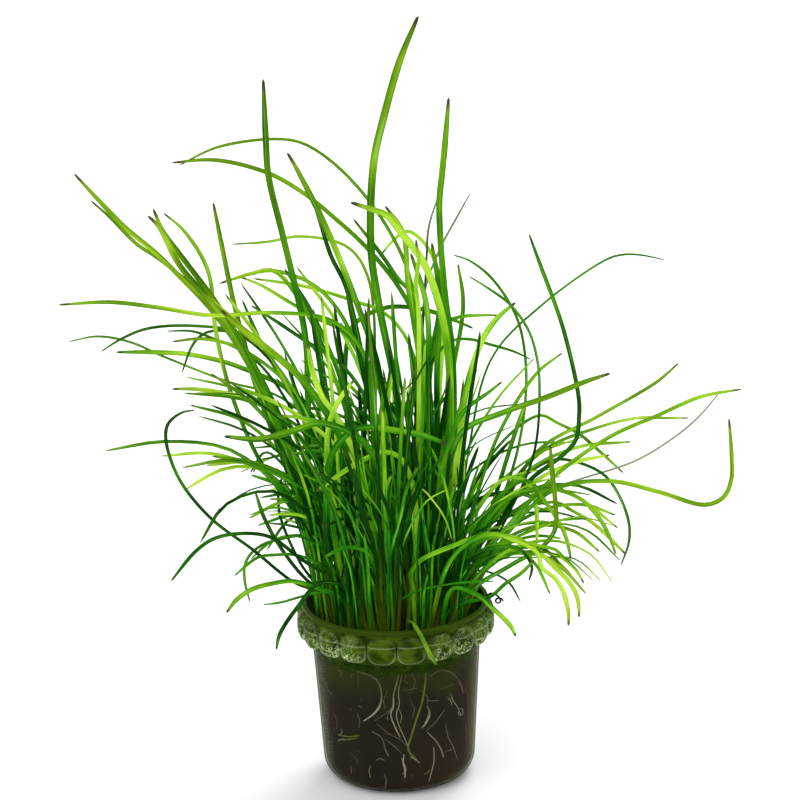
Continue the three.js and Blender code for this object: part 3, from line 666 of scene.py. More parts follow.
class Graph:
    """The node tree of one material."""

    def __init__(self, name):
        self.material = bpy.data.materials.new(name)
        self.material.use_nodes = True
        self.tree = self.material.node_tree
        self.tree.nodes.clear()

    def plug(self, socket, value):
        if isinstance(value, Value):
            self.tree.links.new(value.socket, socket)
        elif socket.type == "RGBA":
            socket.default_value = (*value, 1)
        else:
            socket.default_value = value

    def node(self, kind, settings=None, sockets=None, output=0):
        """Adds a node, sets it up, fills or links its sockets and gives one of its outputs."""
        node = self.tree.nodes.new(kind)
        for key, value in (settings or {}).items():
            if key == "stops":
                self.set_stops(node.color_ramp, value)
            else:
                setattr(node, key, value)
        for key, value in (sockets or {}).items():
            self.plug(node.inputs[key], value)
        return Value(self, node.outputs[output]) if node.outputs else node

    def set_stops(self, ramp, stops):
        """Fills a ramp whose first and last stops are at 0 and 1."""
        for position, _ in stops[1:-1]:
            ramp.elements.new(position)
        for element, (_, colour) in zip(ramp.elements, stops):
            element.color = (*colour, 1)

    def greens(self, shade, colours):
        """The green of a shade between 0 and 1."""
        stops = [(stop, linear(*colour)) for stop, colour in zip(SHADE_STOPS, colours)]
        return self.node("ShaderNodeValToRGB", {"stops": stops}, {0: shade})

    def mix(self, share, first, second):
        """A colour between two."""
        return self.node("ShaderNodeMix", {"data_type": "RGBA"}, {0: share, 6: first, 7: second}, 2)

    def paint(self, colour, *coats):
        """A colour under coats, each with its share and its own colour."""
        for share, coat in coats:
            colour = self.mix(share, colour, coat)
        return colour

    def noise(self, place, scale, detail=2):
        return self.node("ShaderNodeTexNoise", None, {"Vector": place, "Scale": scale, "Detail": detail})

    def cells(self, feature, place, scale):
        """Distances in a pattern of cells."""
        return self.node("ShaderNodeTexVoronoi", {"feature": feature}, {"Vector": place, "Scale": scale})

    def place(self):
        """The point of the surface in the object's own frame."""
        return self.node("ShaderNodeTexCoord", output="Object")

    def attribute(self, name):
        """A number that the mesh holds at each of its vertices."""
        return self.node("ShaderNodeAttribute", {"attribute_name": name}, output="Fac")

    def split(self, vector):
        """The three numbers of a vector."""
        first = self.node("ShaderNodeSeparateXYZ", None, {0: vector})
        return first, first.other("Y"), first.other("Z")

    def vector(self, *numbers):
        return self.node("ShaderNodeCombineXYZ", None, dict(enumerate(numbers)))

    def bump(self, height, strength, distance):
        sockets = {"Height": height, "Strength": strength, "Distance": distance}
        return self.node("ShaderNodeBump", None, sockets)

    def shader(self, colour, roughness, specular, more=None):
        """A surface of one colour, roughness and shine, with more sockets where it needs them."""
        sockets = {"Base Color": colour, "Roughness": roughness, "Specular IOR Level": specular}
        return self.node("ShaderNodeBsdfPrincipled", None, {**sockets, **(more or {})})

    def blend(self, share, first, second):
        """A surface between two."""
        return self.node("ShaderNodeMixShader", None, {0: share, 1: first, 2: second})

    def surface(self, shader):
        self.node("ShaderNodeOutputMaterial", None, {"Surface": shader})
        return self.material


# Hand work in Blender


def clear_selection():
    if bpy.context.object and bpy.context.object.mode != "OBJECT":
        bpy.ops.object.mode_set(mode="OBJECT")
    bpy.ops.object.select_all(action="DESELECT")


def select_only(*pieces):
    """Selects pieces and makes the first of them active."""
    clear_selection()
    for piece in pieces:
        piece.select_set(True)
    bpy.context.view_layer.objects.active = pieces[0]


def named(name):
    """Names the object that was just added."""
    piece = bpy.context.object
    piece.name = piece.data.name = name
    return piece


def new_piece(name):
    """Names the primitive that was just added, and opens it in edit mode."""
    piece = named(name)
    bpy.ops.object.mode_set(mode="EDIT")
    return piece


def select_where(piece, test):
    """Selects the vertices whose place passes a test, and leaves the piece in edit mode."""
    bpy.ops.object.mode_set(mode="EDIT")
    bpy.ops.mesh.select_mode(type="VERT")
    bpy.ops.mesh.select_all(action="DESELECT")
    bpy.ops.object.mode_set(mode="OBJECT")
    piece.data.vertices.foreach_set("select", [bool(test(v.co)) for v in piece.data.vertices])
    bpy.ops.object.mode_set(mode="EDIT")


def close_mesh():
    """Merges doubles and turns the faces outwards, in edit mode, and goes back to object mode."""
    bpy.ops.mesh.select_all(action="SELECT")
    bpy.ops.mesh.remove_doubles(threshold=1e-6)
    bpy.ops.mesh.normals_make_consistent(inside=False)
    bpy.ops.object.mode_set(mode="OBJECT")


def smooth(piece, crease):
    """Shades a piece smoothly, but not over edges that are sharper than an angle in degrees."""
    select_only(piece)
    bpy.ops.object.shade_smooth_by_angle(angle=math.radians(crease))


def vertex_places(mesh):
    places = np.empty(len(mesh.vertices) * 3)
    mesh.vertices.foreach_get("co", places)
    return places.reshape(-1, 3)


def set_places(mesh, places):
    mesh.vertices.foreach_set("co", np.ascontiguousarray(places, dtype=np.float32).ravel())
    mesh.update()


def set_attribute(mesh, name, values):
    mesh.attributes.new(name, "FLOAT", "POINT").data.foreach_set("value", values)


def join(pieces, name):
    select_only(*pieces)
    if len(pieces) > 1:
        bpy.ops.object.join()
    return named(name)


def finish_piece(piece, material, slot, *nodes):
    """Gives a piece its material, sets it on the root and hides the parts of the solids that it stands for;
    the slot is not used.
    """
    piece.data.materials.clear()
    piece.data.materials.append(material)
    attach(piece, "root")
    if nodes:
        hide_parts(*nodes)


def finish_leaf(piece, tone, *nodes):
    finish_piece(piece, bpy.data.materials["satin_leaf_" + tone], "leaf_" + tone, *nodes)


def spin_profile(name, profile, sides):
    """Turns a profile of radius and height in millimetres about the Z axis, ring by ring."""
    clear_selection()
    (radius, height), *rest = [(r * MM, z * MM) for r, z in profile]
    bpy.ops.mesh.primitive_circle_add(vertices=sides, radius=radius, fill_type="TRIFAN")
    piece = new_piece(name)
    bpy.ops.transform.translate(value=(0, 0, height))
    select_where(piece, lambda co: math.hypot(co.x, co.y) > radius / 2)
    for next_radius, next_height in rest:
        bpy.ops.mesh.extrude_edges_move(
            TRANSFORM_OT_translate={"value": (0, 0, next_height - height)})
        bpy.ops.transform.resize(value=(next_radius / radius, next_radius / radius, 1),
                                 center_override=(0, 0, next_height))
        radius, height = next_radius, next_height
    bpy.ops.mesh.edge_face_add()
    bpy.ops.mesh.poke()
    close_mesh()
    return piece


# Leaves


def blade_share(share):
    """A blade's width along its length: narrow at the foot, full in the middle, drawn out to a point."""
    opening = min(1, share / OPENING_SHARE)
    closing = math.sqrt(min(1, (1 - share) / CLOSING_SHARE))
    at_foot = FOOT_WIDTH_SHARE + (1 - FOOT_WIDTH_SHARE) * opening
    return at_foot * (TIP_WIDTH_SHARE + (1 - TIP_WIDTH_SHARE) * closing)


def blade_master(name, sides, rings, thickness):
    """A straight blade of length 1 and half width 1, extruded ring by ring and drawn in to its tip."""
    clear_selection()
    bpy.ops.mesh.primitive_circle_add(vertices=sides, radius=1, fill_type="NGON")
    piece = new_piece(name)
    turn = math.pi / sides if sides % 4 else 0
    bpy.ops.transform.rotate(value=turn, orient_axis="Z", center_override=(0, 0, 0))
    first = blade_share(0)
    bpy.ops.transform.resize(value=(first, first * thickness, 1), center_override=(0, 0, 0))
    heights = [1 - (1 - i / rings) ** RING_CROWDING for i in range(rings + 1)]
    for low, high in zip(heights, heights[1:]):
        bpy.ops.mesh.extrude_region_move(TRANSFORM_OT_translate={"value": (0, 0, high - low)})
        drawn = blade_share(high) / blade_share(low)
        bpy.ops.transform.resize(value=(drawn, drawn, 1), center_override=(0, 0, high))
    bpy.ops.mesh.merge(type="CENTER")
    return piece


def cut_channel(piece, depth):
    """Draws the middle of the blade's front in, so that a shallow channel runs up it."""
    select_where(piece, lambda co: abs(co.x) < 1e-4 and co.y < -1e-4)
    bpy.ops.transform.resize(value=(1, depth, 1), center_override=(0, 0, 0))


def map_blade(piece):
    """Writes the blade's own map: across it in U and along it in V."""
    mesh = piece.data
    layer = mesh.uv_layers[0]
    layer.name = "blade"
    places = vertex_places(mesh)
    corners = np.empty(len(mesh.loops), dtype=np.int32)
    mesh.loops.foreach_get("vertex_index", corners)
    widths = np.array([blade_share(min(1, max(0, z))) for z in places[:, 2]])
    across = 0.5 + 0.5 * places[:, 0] / widths
    layer.data.foreach_set("uv", np.column_stack((across, places[:, 2]))[corners].ravel())


def make_master(name, thickness):
    """One of the straight blades that the leaves and the roots are copies of."""
    sides, rings, channel = MASTERS[name]
    piece = blade_master(name, sides, rings, thickness)
    if channel < 1:
        cut_channel(piece, channel)
    close_mesh()
    map_blade(piece)
    smooth(piece, BLADE_CREASE)
    return piece


def from_view(across, up, depth):
    """The place in the object's frame of a point that the front view shows, at a given depth."""
    sine, cosine = math.sin(VIEW_RISE), math.cos(VIEW_RISE)
    aside = across * math.cos(VIEW_LEAN) + up * math.sin(VIEW_LEAN) - VIEW_ACROSS
    raised = up * math.cos(VIEW_LEAN) - across * math.sin(VIEW_LEAN) - VIEW_UP
    height = (VIEW_UP + raised * (1 + depth * cosine / VIEW_DISTANCE) - depth * sine) / (
        cosine + raised * sine / VIEW_DISTANCE)
    away = depth * cosine - height * sine
    return VIEW_ACROSS + aside * (1 + away / VIEW_DISTANCE), depth, height


def row_lane(index):
    """The lane of a row, in millimetres behind the cup's axis."""
    return (index - (len(ROWS) - 1) / 2) * LANE_STEP


def lane_depth(lane, across, up):
    """The depth of a lane, which fans out away from the clump's foot."""
    distance = math.hypot(across, up - CLUMP_UP)
    return lane * (1 + FAN_RATE * max(0, distance - FAN_START))


def leaf_points(foot, lane, seen):
    """The points of a leaf's route, in millimetres, from its foot on the gel to its tip."""
    points = [(foot, lane, LEAF_FOOT - SUNK)]
    for across, up, *depth in seen:
        points.append(from_view(across, up, depth[0] if depth else lane_depth(lane, across, up)))
    return points


def smooth_route(points):
    """A smooth curve through points, of the centripetal kind that doesn't overshoot."""
    points = [np.array(point, dtype=float) for point in points]
    points = [2 * points[0] - points[1], *points, 2 * points[-1] - points[-2]]
    share = np.linspace(0, 1, ROUTE_MARKS, endpoint=False)[:, None]
    runs = []
    for a, b, c, d in zip(points, points[1:], points[2:], points[3:]):
        before, span, after = (math.sqrt(np.linalg.norm(q - p)) for p, q in ((a, b), (b, c), (c, d)))
        start = ((b - a) / before - (c - a) / (before + span) + (c - b) / span) * span
        end = ((c - b) / span - (d - b) / (span + after) + (d - c) / after) * span
        runs.append(b + start * share + (3 * (c - b) - 2 * start - end) * share**2
                    + (2 * (b - c) + start + end) * share**3)
    return np.vstack([*runs, points[-2][None]])


def along_route(route, shares):
    """Points and directions of a route at shares of its length."""
    lengths = np.concatenate(([0], np.cumsum(np.linalg.norm(np.diff(route, axis=0), axis=1))))
    wanted = shares * lengths[-1]
    nearby = lengths[-1] / DIRECTION_MARKS

    def at(marks):
        return np.column_stack([np.interp(marks, lengths, column) for column in route.T])

    tangents = at(wanted + nearby) - at(wanted - nearby)
    return at(wanted), tangents / np.linalg.norm(tangents, axis=1)[:, None]


def lay_blade(master, name, points, width, twist):
    """A copy of a master blade, laid along a route with its flat side to the front and turned by twist."""
    base = vertex_places(master.data)
    places, tangents = along_route(smooth_route(points), base[:, 2].clip(0, 1))
    side = np.cross((0, 1, 0), tangents)
    side /= np.linalg.norm(side, axis=1)[:, None]
    back = np.cross(tangents, side)
    turn = twist(base[:, 2])[:, None]
    across = side * np.cos(turn) + back * np.sin(turn)
    through = back * np.cos(turn) - side * np.sin(turn)
    half = width / 2
    laid = places + across * base[:, :1] * half + through * base[:, 1:2] * half
    piece = bpy.data.objects.new(name, master.data.copy())
    bpy.context.scene.collection.objects.link(piece)
    piece.data.name = name
    set_places(piece.data, laid * MM)
    return piece


def gentle_twist(most, dice):
    """A turn about the length that swings slowly from side to side, up to the most given."""
    start, swing, speed = dice.uniform(-0.5, 0.5), dice.uniform(-1, 1), dice.uniform(2, 6)
    return lambda share: most * (start + swing * np.sin(speed * share) * TWIST_SWING)


def tone_blade(piece, shift, dice):
    """Sets how much lighter than its slot's tone a blade is, and the number that varies its pattern."""
    for name, value in (("shade_shift", shift), ("pattern", dice.random_sample())):
        set_attribute(piece.data, name, np.full(len(piece.data.vertices), value, dtype=np.float32))


def scatter(a, b):
    """A fixed number from 0 to 1 that looks random, the same each time for the same pair."""
    value = math.sin(a * SCATTER[0] + b * SCATTER[1]) * SCATTER[2]
    return value - math.floor(value)


def first_lesser_leaf(foot, lane, row, i):
    """The route of one of the lesser leaves that a plantlet's solid has."""
    lean = 2 * i / (FIRST_LEAVES - 1) - 1
    reach = (lean - FIRST_LEAN) * (FIRST_REACHES[0] + FIRST_REACHES[1] * scatter(row, i))
    length = FIRST_LENGTHS[0] + FIRST_LENGTHS[1] * scatter(row, i + LENGTH_SEED)
    seen = [(foot + reach * aside, RIM_UP + length * above) for aside, above in FIRST_PASSES]
    offset = FIRST_OFFSET if i % 2 else -FIRST_OFFSET
    return leaf_points(foot + lean * CROWN_REACH, lane + offset, seen)


def arching_leaf(foot, lane, across, start, bend, length, dice):
    """The route of a leaf that leaves the rim at an angle from upright and bends on as it grows."""
    up = RIM_UP
    seen = [(across, up)]
    sway, phase, drift = dice.normal(0, 0.1), dice.uniform(0, 2 * math.pi), dice.normal(0, DRIFT)
    for i in range(ARCH_STEPS):
        share = (i + 0.5) / ARCH_STEPS
        angle = start + bend * share**ARCH_POWER + sway * math.sin(2 * i + phase)
        across += math.sin(angle) * length / ARCH_STEPS
        up += math.cos(angle) * length / ARCH_STEPS
        seen.append((across, up, lane_depth(lane, across, up) + drift * share**2 * length))
    return leaf_points(foot, lane, seen)


def more_lesser_leaf(foot, lane, dice):
    """The route of another leaf of a plantlet, which leans and bends either way."""
    lean = dice.uniform(-1, 1)
    start = lean * 0.12 - 0.1 + dice.normal(0, 0.07)
    bend = lean * 0.3 + dice.normal(-0.3, 0.95)
    least, middle, most = LESSER_LENGTHS
    longest = middle if lane < FRONT_LANES else most - 2 * max(0, foot)
    length = dice.uniform(least, middle) if dice.random_sample() < 0.5 else dice.uniform(middle, longest)
    across = foot * 1.12 + lean * 5.5
    strayed = lane + dice.uniform(-LANE_STRAY, LANE_STRAY)
    return arching_leaf(foot + lean * CROWN_REACH, strayed, across, start, bend, length, dice)


def left_leaf(dice):
    """The route of a leaf that arches over to the left."""
    foot = dice.uniform(-19, 8)
    start = -dice.uniform(0.02, 0.4) + foot * 0.003
    length = dice.uniform(60, 138)
    bend = -dice.uniform(0.6, 2.2) * (1.25 - 0.5 * length / 150)
    return arching_leaf(foot, dice.uniform(-9, 11), foot * RIM_SPREAD - 1, start, bend, length, dice)


def middle_leaf(dice):
    """The route of a leaf of the clump's middle, which starts upright and bends either way."""
    foot = dice.uniform(1, 18)
    return arching_leaf(foot, dice.uniform(-6, 10), foot * RIM_SPREAD, dice.normal(0.02, 0.1),
                        dice.normal(-0.3, 1.1), dice.uniform(64, 118), dice)


def right_leaf(dice):
    """The route of a leaf that arches over to the right, low over the rim."""
    foot = dice.uniform(5, 20)
    start = dice.uniform(0.2, 0.8)
    length = dice.uniform(40, 92)
    return arching_leaf(foot, dice.uniform(-12, 12), foot * RIM_SPREAD + 1, start, dice.uniform(1, 2.3),
                        length, dice)


def short_leaf(dice):
    """The route of a short leaf that stands anywhere in the cup and stays inside its rim."""
    turn = dice.uniform(0, 2 * math.pi)
    out = SHORT_REACH * math.sqrt(dice.random_sample())
    swing = turn + dice.normal(0, 0.5)
    length = dice.uniform(24, 95)
    spread = dice.uniform(0, 0.3) * length
    above = length - SHORT_RISE
    foot = np.array((out * math.cos(turn), out * math.sin(turn), LEAF_FOOT - SUNK))
    aside = np.array((math.cos(swing), math.sin(swing), 0))
    rim = foot + aside * min(3, SHORT_LIMIT - out) + (0, 0, SHORT_RISE + SUNK)
    bend = rim + aside * spread * 0.4 + (0, 0, above * 0.6 + 3)
    return [foot, rim, bend, rim + aside * spread + (0, 0, above)]


ROUTES = {"short": short_leaf, "left": left_leaf, "middle": middle_leaf, "right": right_leaf}


def make_crown(name, foot, lane):
    """The low pale crown that a plantlet's leaves grow from."""
    clear_selection()
    bpy.ops.mesh.primitive_uv_sphere_add(segments=CROWN_SIDES, ring_count=CROWN_RINGS, radius=1)
    crown = new_piece(name)
    bpy.ops.transform.resize(value=[size * MM for size in CROWN_SIZE], center_override=(0, 0, 0))
    bpy.ops.transform.translate(value=(foot * MM, lane * MM, (LEAF_FOOT + CROWN_RISE) * MM))
    bpy.ops.object.mode_set(mode="OBJECT")
    layer = crown.data.uv_layers[0]
    layer.name = "blade"
    layer.data.foreach_set("uv", CROWN_PLACE_ON_BLADE * len(layer.data))
    bpy.ops.object.shade_smooth()
    return crown


def leaf_material(settings, tone):
    """Satin needle leaf: mottled green with fine veins, a pale foot and a dry tip, and painted light and
    shade: pale midribs partly painted highlight, painted glints, painted shade on the edges and low in the
    clump's middle, and lighter and darker painted patches along each leaf.
    """
    graph = Graph("satin_leaf_" + tone)
    across, along, _ = graph.split(graph.node("ShaderNodeUVMap", {"uv_map": "blade"}))
    place = graph.place()
    east, north, height = graph.split(place)
    out = (east * east + north * north) ** 0.5
    shift = graph.attribute("shade_shift")
    pattern = graph.attribute("pattern")
    mottle = graph.noise(place, 45, 3)
    veins = graph.noise(graph.vector(across * 7 + pattern * 40, along * 6, pattern * 17), 1, 3)
    lit = graph.noise(graph.vector(across * 0.6, along * 5, pattern * 60), 1, 2)
    # Painted shade low in the clump's middle: darker the lower and the nearer the axis a leaf is
    shaded = height.fall(0.06, 0.19) * out.fall(0.02, 0.07)
    # The lit noise paints light and shade in patches along each leaf
    shade = (shift + TONE_LEVELS[tone] + (mottle - 0.5) * 0.8 + (lit - 0.5) * 1.1
             + (veins - 0.5) * 0.7 - shaded * 0.28 + along * 0.26 - 0.04)
    aged = (height.step(0.14, 0.24) + out.step(0.03, 0.07)) * (0.3 + along.step(0.3, 0.85) * 0.6)
    green = graph.mix(aged * (AGE_LEVELS[tone] + pattern * 0.4), graph.greens(shade, YOUNG_GREENS),
                      graph.greens(shade, OLD_GREENS))
    if tone == "thread":
        dried = graph.mix(shade.step(0.1, 0.5), settings.thread_dark, settings.thread_pale)
        green = graph.mix(0.9, green, dried)
    midrib_and_highlight = abs(across - 0.46).fall(0.03, 0.12) * shade.step(-0.1, 0.4)
    # Painted highlight: glints beside the midribs where the lit noise is high
    glint = lit.step(0.56, 0.66) * pattern.step(0.4, 0.7) * abs(across - 0.6).fall(0.05, 0.3)
    dry = (along + (mottle - 0.5) * 0.1).step(0.92, 0.99) * height.step(0.1, 0.2)
    colour = graph.paint(
        green,
        # Pale midribs: a faint line of their own colour, and a painted highlight where the veins break
        # through
        (midrib_and_highlight * (0.1 + veins.step(0.45, 0.62) * 0.34), settings.midrib_and_highlight),
        (glint * 0.4, settings.glint),
        # Painted shade on both edges of each leaf
        (abs(across - 0.5).step(0.34, 0.48) * 0.35, settings.edge),
        (along.fall(0, 0.34) * 0.6, settings.foot),
        (pattern.step(0.8, 0.86) * height.fall(0.062, 0.09) * 0.5, settings.old),
        (dry * pattern.step(0.2, 0.7) * 0.45, settings.dry),
        ((along + (mottle - 0.5) * 0.02).step(0.972, 0.99) * 0.9, settings.tip))
    return graph.surface(graph.shader(colour, 0.4 + mottle * 0.25, 0.04, {
        "Normal": graph.bump(veins, 0.3, 0.0003), "Subsurface Weight": 0.2,
        "Subsurface Scale": 0.001, "Subsurface Radius": (0.5, 1.0, 0.05)}))


# Cup, gel and roots


def body_radius(height):
    """The cup's outer radius at a height between the round foot and the collar."""
    share = (height - BODY_LOW_HEIGHT) / (BODY_TOP_HEIGHT - BODY_LOW_HEIGHT)
    return BODY_LOW_RADIUS + share * (BODY_TOP_RADIUS - BODY_LOW_RADIUS)


def foot_profile(inset):
    """The flat foot and its round corner, drawn in from the cup's outside."""
    profile = [(FOOT_RADIUS * FLAT_FOOT_SHARE, inset)]
    for i in range(CORNER_STEPS + 1):
        turn = i / CORNER_STEPS * math.pi / 2
        profile.append((FOOT_RADIUS + (BODY_LOW_RADIUS - inset - FOOT_RADIUS) * math.sin(turn),
                        BODY_LOW_HEIGHT - (BODY_LOW_HEIGHT - inset) * math.cos(turn)))
    return profile


def wall_profile(inset, heights):
    """The body's straight wall, drawn in from the cup's outside."""
    return [(body_radius(z) - inset, z) for z in heights]


def cup_profile(wall):
    """The cup's section, up its outside, over the rim and down its inside."""
    ledge = [(BODY_TOP_RADIUS + LEDGE_WIDTH, BODY_TOP_HEIGHT + LEDGE_RISE),
             (RIM_RADIUS - ROUNDING, COLLAR_LOW - BAND_GAP)]
    collar = [(RIM_RADIUS, COLLAR_LOW + (COLLAR_HIGH - COLLAR_LOW) * i / COLLAR_STEPS)
              for i in range(COLLAR_STEPS + 1)]
    band = [(RIM_RADIUS - BAND_INSET, COLLAR_HIGH + BAND_GAP),
            (RIM_RADIUS - BAND_INSET, CUP_HEIGHT - BEAD_HEIGHT),
            (RIM_RADIUS, CUP_HEIGHT - BEAD_HEIGHT + ROUNDING), (RIM_RADIUS, CUP_HEIGHT - ROUNDING),
            (RIM_RADIUS - ROUNDING, CUP_HEIGHT)]
    inner = RIM_RADIUS - LIP_WIDTH
    inside = [(inner + ROUNDING, CUP_HEIGHT), (inner, CUP_HEIGHT - ROUNDING),
              (inner, COLLAR_LOW + INNER_STEP_RISE), (inner - INNER_STEP_WIDTH, COLLAR_LOW),
              (BODY_TOP_RADIUS - wall, BODY_TOP_HEIGHT)]
    return [*foot_profile(0), *wall_profile(0, (*WALL_RINGS, BODY_TOP_HEIGHT)), *ledge, *collar, *band,
            *inside, *reversed(wall_profile(wall, WALL_RINGS)), *reversed(foot_profile(wall))]


def raise_lobes(piece, rise):
    """Swells the collar into its lobes, each a pillow with a fine ridge round its edge and a seam."""
    places = vertex_places(piece.data) / MM
    radius = np.hypot(places[:, 0], places[:, 1])
    turns = (np.arctan2(places[:, 1], places[:, 0]) / (2 * np.pi) + 0.25) * LOBES
    aside = 2 * (turns - np.floor(turns + 1e-6)) - 1
    middle = (COLLAR_LOW + COLLAR_HIGH) / 2
    upright = (places[:, 2] - middle) / (COLLAR_HIGH - middle)
    far = (np.abs(aside) ** LOBE_SQUARENESS + np.abs(upright) ** LOBE_SQUARENESS) ** (1 / LOBE_SQUARENESS)
    on_collar = (radius > RIM_RADIUS - 0.1) & (np.abs(upright) < 1.001)
    pillow = np.where(far < 1, np.sqrt(np.clip(1 - far**LOBE_FLATNESS, 0, 1)), 0)
    ridge = np.exp(-(((far - RIDGE_PLACE) / RIDGE_WIDTH) ** 2))
    on_seam = np.exp(-(((places[:, 2] - SEAM_HEIGHT) / SEAM_WIDTH) ** 2))
    seam = on_seam * (pillow > SEAM_FROM_FULLNESS)
    raised = np.where(on_collar, pillow * rise + ridge * RIDGE_RISE + seam * SEAM_RISE, 0)
    low = np.clip((SEAM_HEIGHT - places[:, 2]) / LOW_EDGE_REACH, 0, 1)
    places[:, :2] *= ((radius + raised) / np.maximum(radius, 1e-6))[:, None]
    set_places(piece.data, places * MM)
    edge = ridge * (UPPER_RIDGE_MILK + (1 - UPPER_RIDGE_MILK) * low) + seam * SEAM_MILK
    set_attribute(piece.data, "lobe_edge", np.where(on_collar, np.clip(edge, 0, 1), 0))
    set_attribute(piece.data, "lobe", np.where(on_collar, pillow, 0))


def cup_material(settings):
    """Clear moulded plastic with milky lobe edges, the leaves seen through the collar painted in as olive
    refraction, and painted sparkle on the lobes.
    """
    graph = Graph("clear_cup_plastic")
    lobe = graph.attribute("lobe")
    place = graph.place()
    across, _, height = graph.split(place)
    cloud = graph.noise(place, 230, 3)
    collar = (height + (cloud - 0.5) * 0.006).step((GEL_TOP - 3.5) * MM, (GEL_TOP + 1.5) * MM)
    crescent = height.fall((COLLAR_LOW + 3) * MM, (COLLAR_LOW + 6.5) * MM)
    # Painted sparkle: pale lace on the lobes' sides, stronger low on the collar, stands for glints of
    # refraction
    lace = graph.cells("DISTANCE_TO_EDGE", place, 1000).fall(0.02, 0.13)
    broken = graph.noise(place, 700, 2).step(0.42, 0.6)
    beside = abs(across).step(0.011, 0.018)
    painted_sparkle = lace * broken * beside * lobe.step(0.02, 0.2) * (0.3 + crescent * 0.7)
    bump = graph.bump(graph.noise(place, 260, 2) * lobe, 0.6, 0.0006)
    thick = graph.node("ShaderNodeLayerWeight", None, {"Blend": 0.5}, output="Facing")
    wall = graph.shader(settings.tint, 0.5, 0, {"IOR": 1.3, "Alpha": thick.step(0.52, 0.92) ** 1.2 * 0.8})
    # Painted refraction: olive colours stand for the leaves seen through the collar and the wall above the
    # gel, darker towards the collar's foot
    olive = graph.paint(
        graph.mix(cloud.step(0.35, 0.65), settings.collar_tint, settings.collar_light),
        (height.step((COLLAR_HIGH + 0.2) * MM, (COLLAR_HIGH + 0.6) * MM), settings.band),
        (height.fall((COLLAR_LOW + 0.3) * MM, (COLLAR_LOW + 2) * MM) * 0.7, settings.collar_tint))
    solid = graph.shader(olive, 0.3, 0.03, {"IOR": 1.4, "Normal": bump})
    clear = graph.node("ShaderNodeBsdfTransparent", None, {"Color": settings.collar_clear})
    plain = graph.blend(collar, wall, graph.blend(0.68 + thick * 0.25, clear, solid))
    # This milky surface paints the lobe edges and the painted sparkle
    milky = graph.shader(settings.cream, 0.35, 0.2, {"Normal": bump})
    return graph.surface(graph.blend(graph.attribute("lobe_edge") * 0.36 + painted_sparkle * 0.9, plain, milky))


def gel_material(settings):
    """Moist brown gel, browner in patches, greener towards its top, with a few pale specks."""
    graph = Graph("moist_brown_gel")
    place = graph.place()
    height = graph.split(place)[2]
    cloud = graph.noise(place, 55, 3)
    speck = graph.cells("F1", place, 330).fall(0.1, 0.2) * graph.noise(place, 140, 1).step(0.56, 0.62)
    colour = graph.paint(
        settings.brown,
        (graph.noise(place, 28, 1).step(0.42, 0.66) * 0.6, settings.patch),
        ((height + (cloud - 0.5) * 0.04).step(0.034, 0.05) * 0.9, settings.green),
        (speck * 0.35, settings.speck))
    return graph.surface(graph.shader(colour, 0.7 - cloud * 0.2, 0.05))


def root_material(settings):
    """Moist root: pale when young, then brown, green and dark, and greener near the gel's top."""
    graph = Graph("moist_root")
    place = graph.place()
    height = graph.split(place)[2]
    age = graph.attribute("shade_shift")
    cloud = graph.noise(place, 160, 3)
    colour = graph.paint(
        settings.pale,
        (age.step(0, 0.9), settings.brown),
        (age.step(0.9, 1.4), settings.green),
        ((height + (cloud - 0.5) * 0.03).step(0.034, 0.049) * 0.85, settings.upper),
        (age.step(1.6, 2), settings.dark),
        (cloud.step(0.5, 0.7) * 0.5, settings.stain))
    return graph.surface(graph.shader(colour, 0.5 - cloud * 0.2, 0.15))


def on_gel(points, wall):
    """Points across and height, set on the gel's front just inside the wall."""
    places = []
    for across, height in points:
        radius = body_radius(height) - wall - GEL_GAP
        places.append((across, -math.sqrt(radius * radius - across * across), height))
    return places


def lay_root(master, name, points, width, age, dice):
    """A root that isn't twisted, with the age that its colour follows."""
    root = lay_blade(master, name, points, width, np.zeros_like)
    tone_blade(root, age, dice)
    return root


# Operators


def settings_of(context):
    return context.scene.sagittaria


class SAGITTARIA_OT_cup(bpy.types.Operator):
    """Spins the clear cup and swells the lobes of its collar"""

    bl_idname = "sagittaria.cup"
    bl_label = "Make the cup"

    def execute(self, context):
        settings = settings_of(context).cup
        piece = spin_profile("culture_cup", cup_profile(settings.wall / MM), CUP_SIDES)
        if len(piece.data.polygons) <= CUP_SIDES:
            raise RuntimeError("the cup's profile wasn't spun")
        raise_lobes(piece, settings.lobe_rise / MM)
        smooth(piece, CUP_CREASE)
        finish_piece(piece, cup_material(settings), "cup_plastic", "cup")
        return {"FINISHED"}


class SAGITTARIA_OT_gel(bpy.types.Operator):
    """Spins the block of brown gel that fills the cup's lower part"""

    bl_idname = "sagittaria.gel"
    bl_label = "Make the gel"

    def execute(self, context):
        settings = settings_of(context)
        inset = settings.cup.wall / MM + GEL_GAP
        top = body_radius(GEL_TOP) - inset
        surface = [(top - GEL_EDGE, GEL_TOP - GEL_EDGE_DIP), (top * GEL_DIP_SHARE, GEL_TOP - GEL_DIP),
                   (top * GEL_MIDDLE_SHARE, GEL_TOP - GEL_EDGE_DIP)]
        profile = [*foot_profile(inset), *wall_profile(inset, (*GEL_RINGS, GEL_TOP)), *surface]
        piece = spin_profile("gel_block", profile, GEL_SIDES)
        smooth(piece, CUP_CREASE)
        finish_piece(piece, gel_material(settings.gel), "growing_gel", "gel")
        return {"FINISHED"}


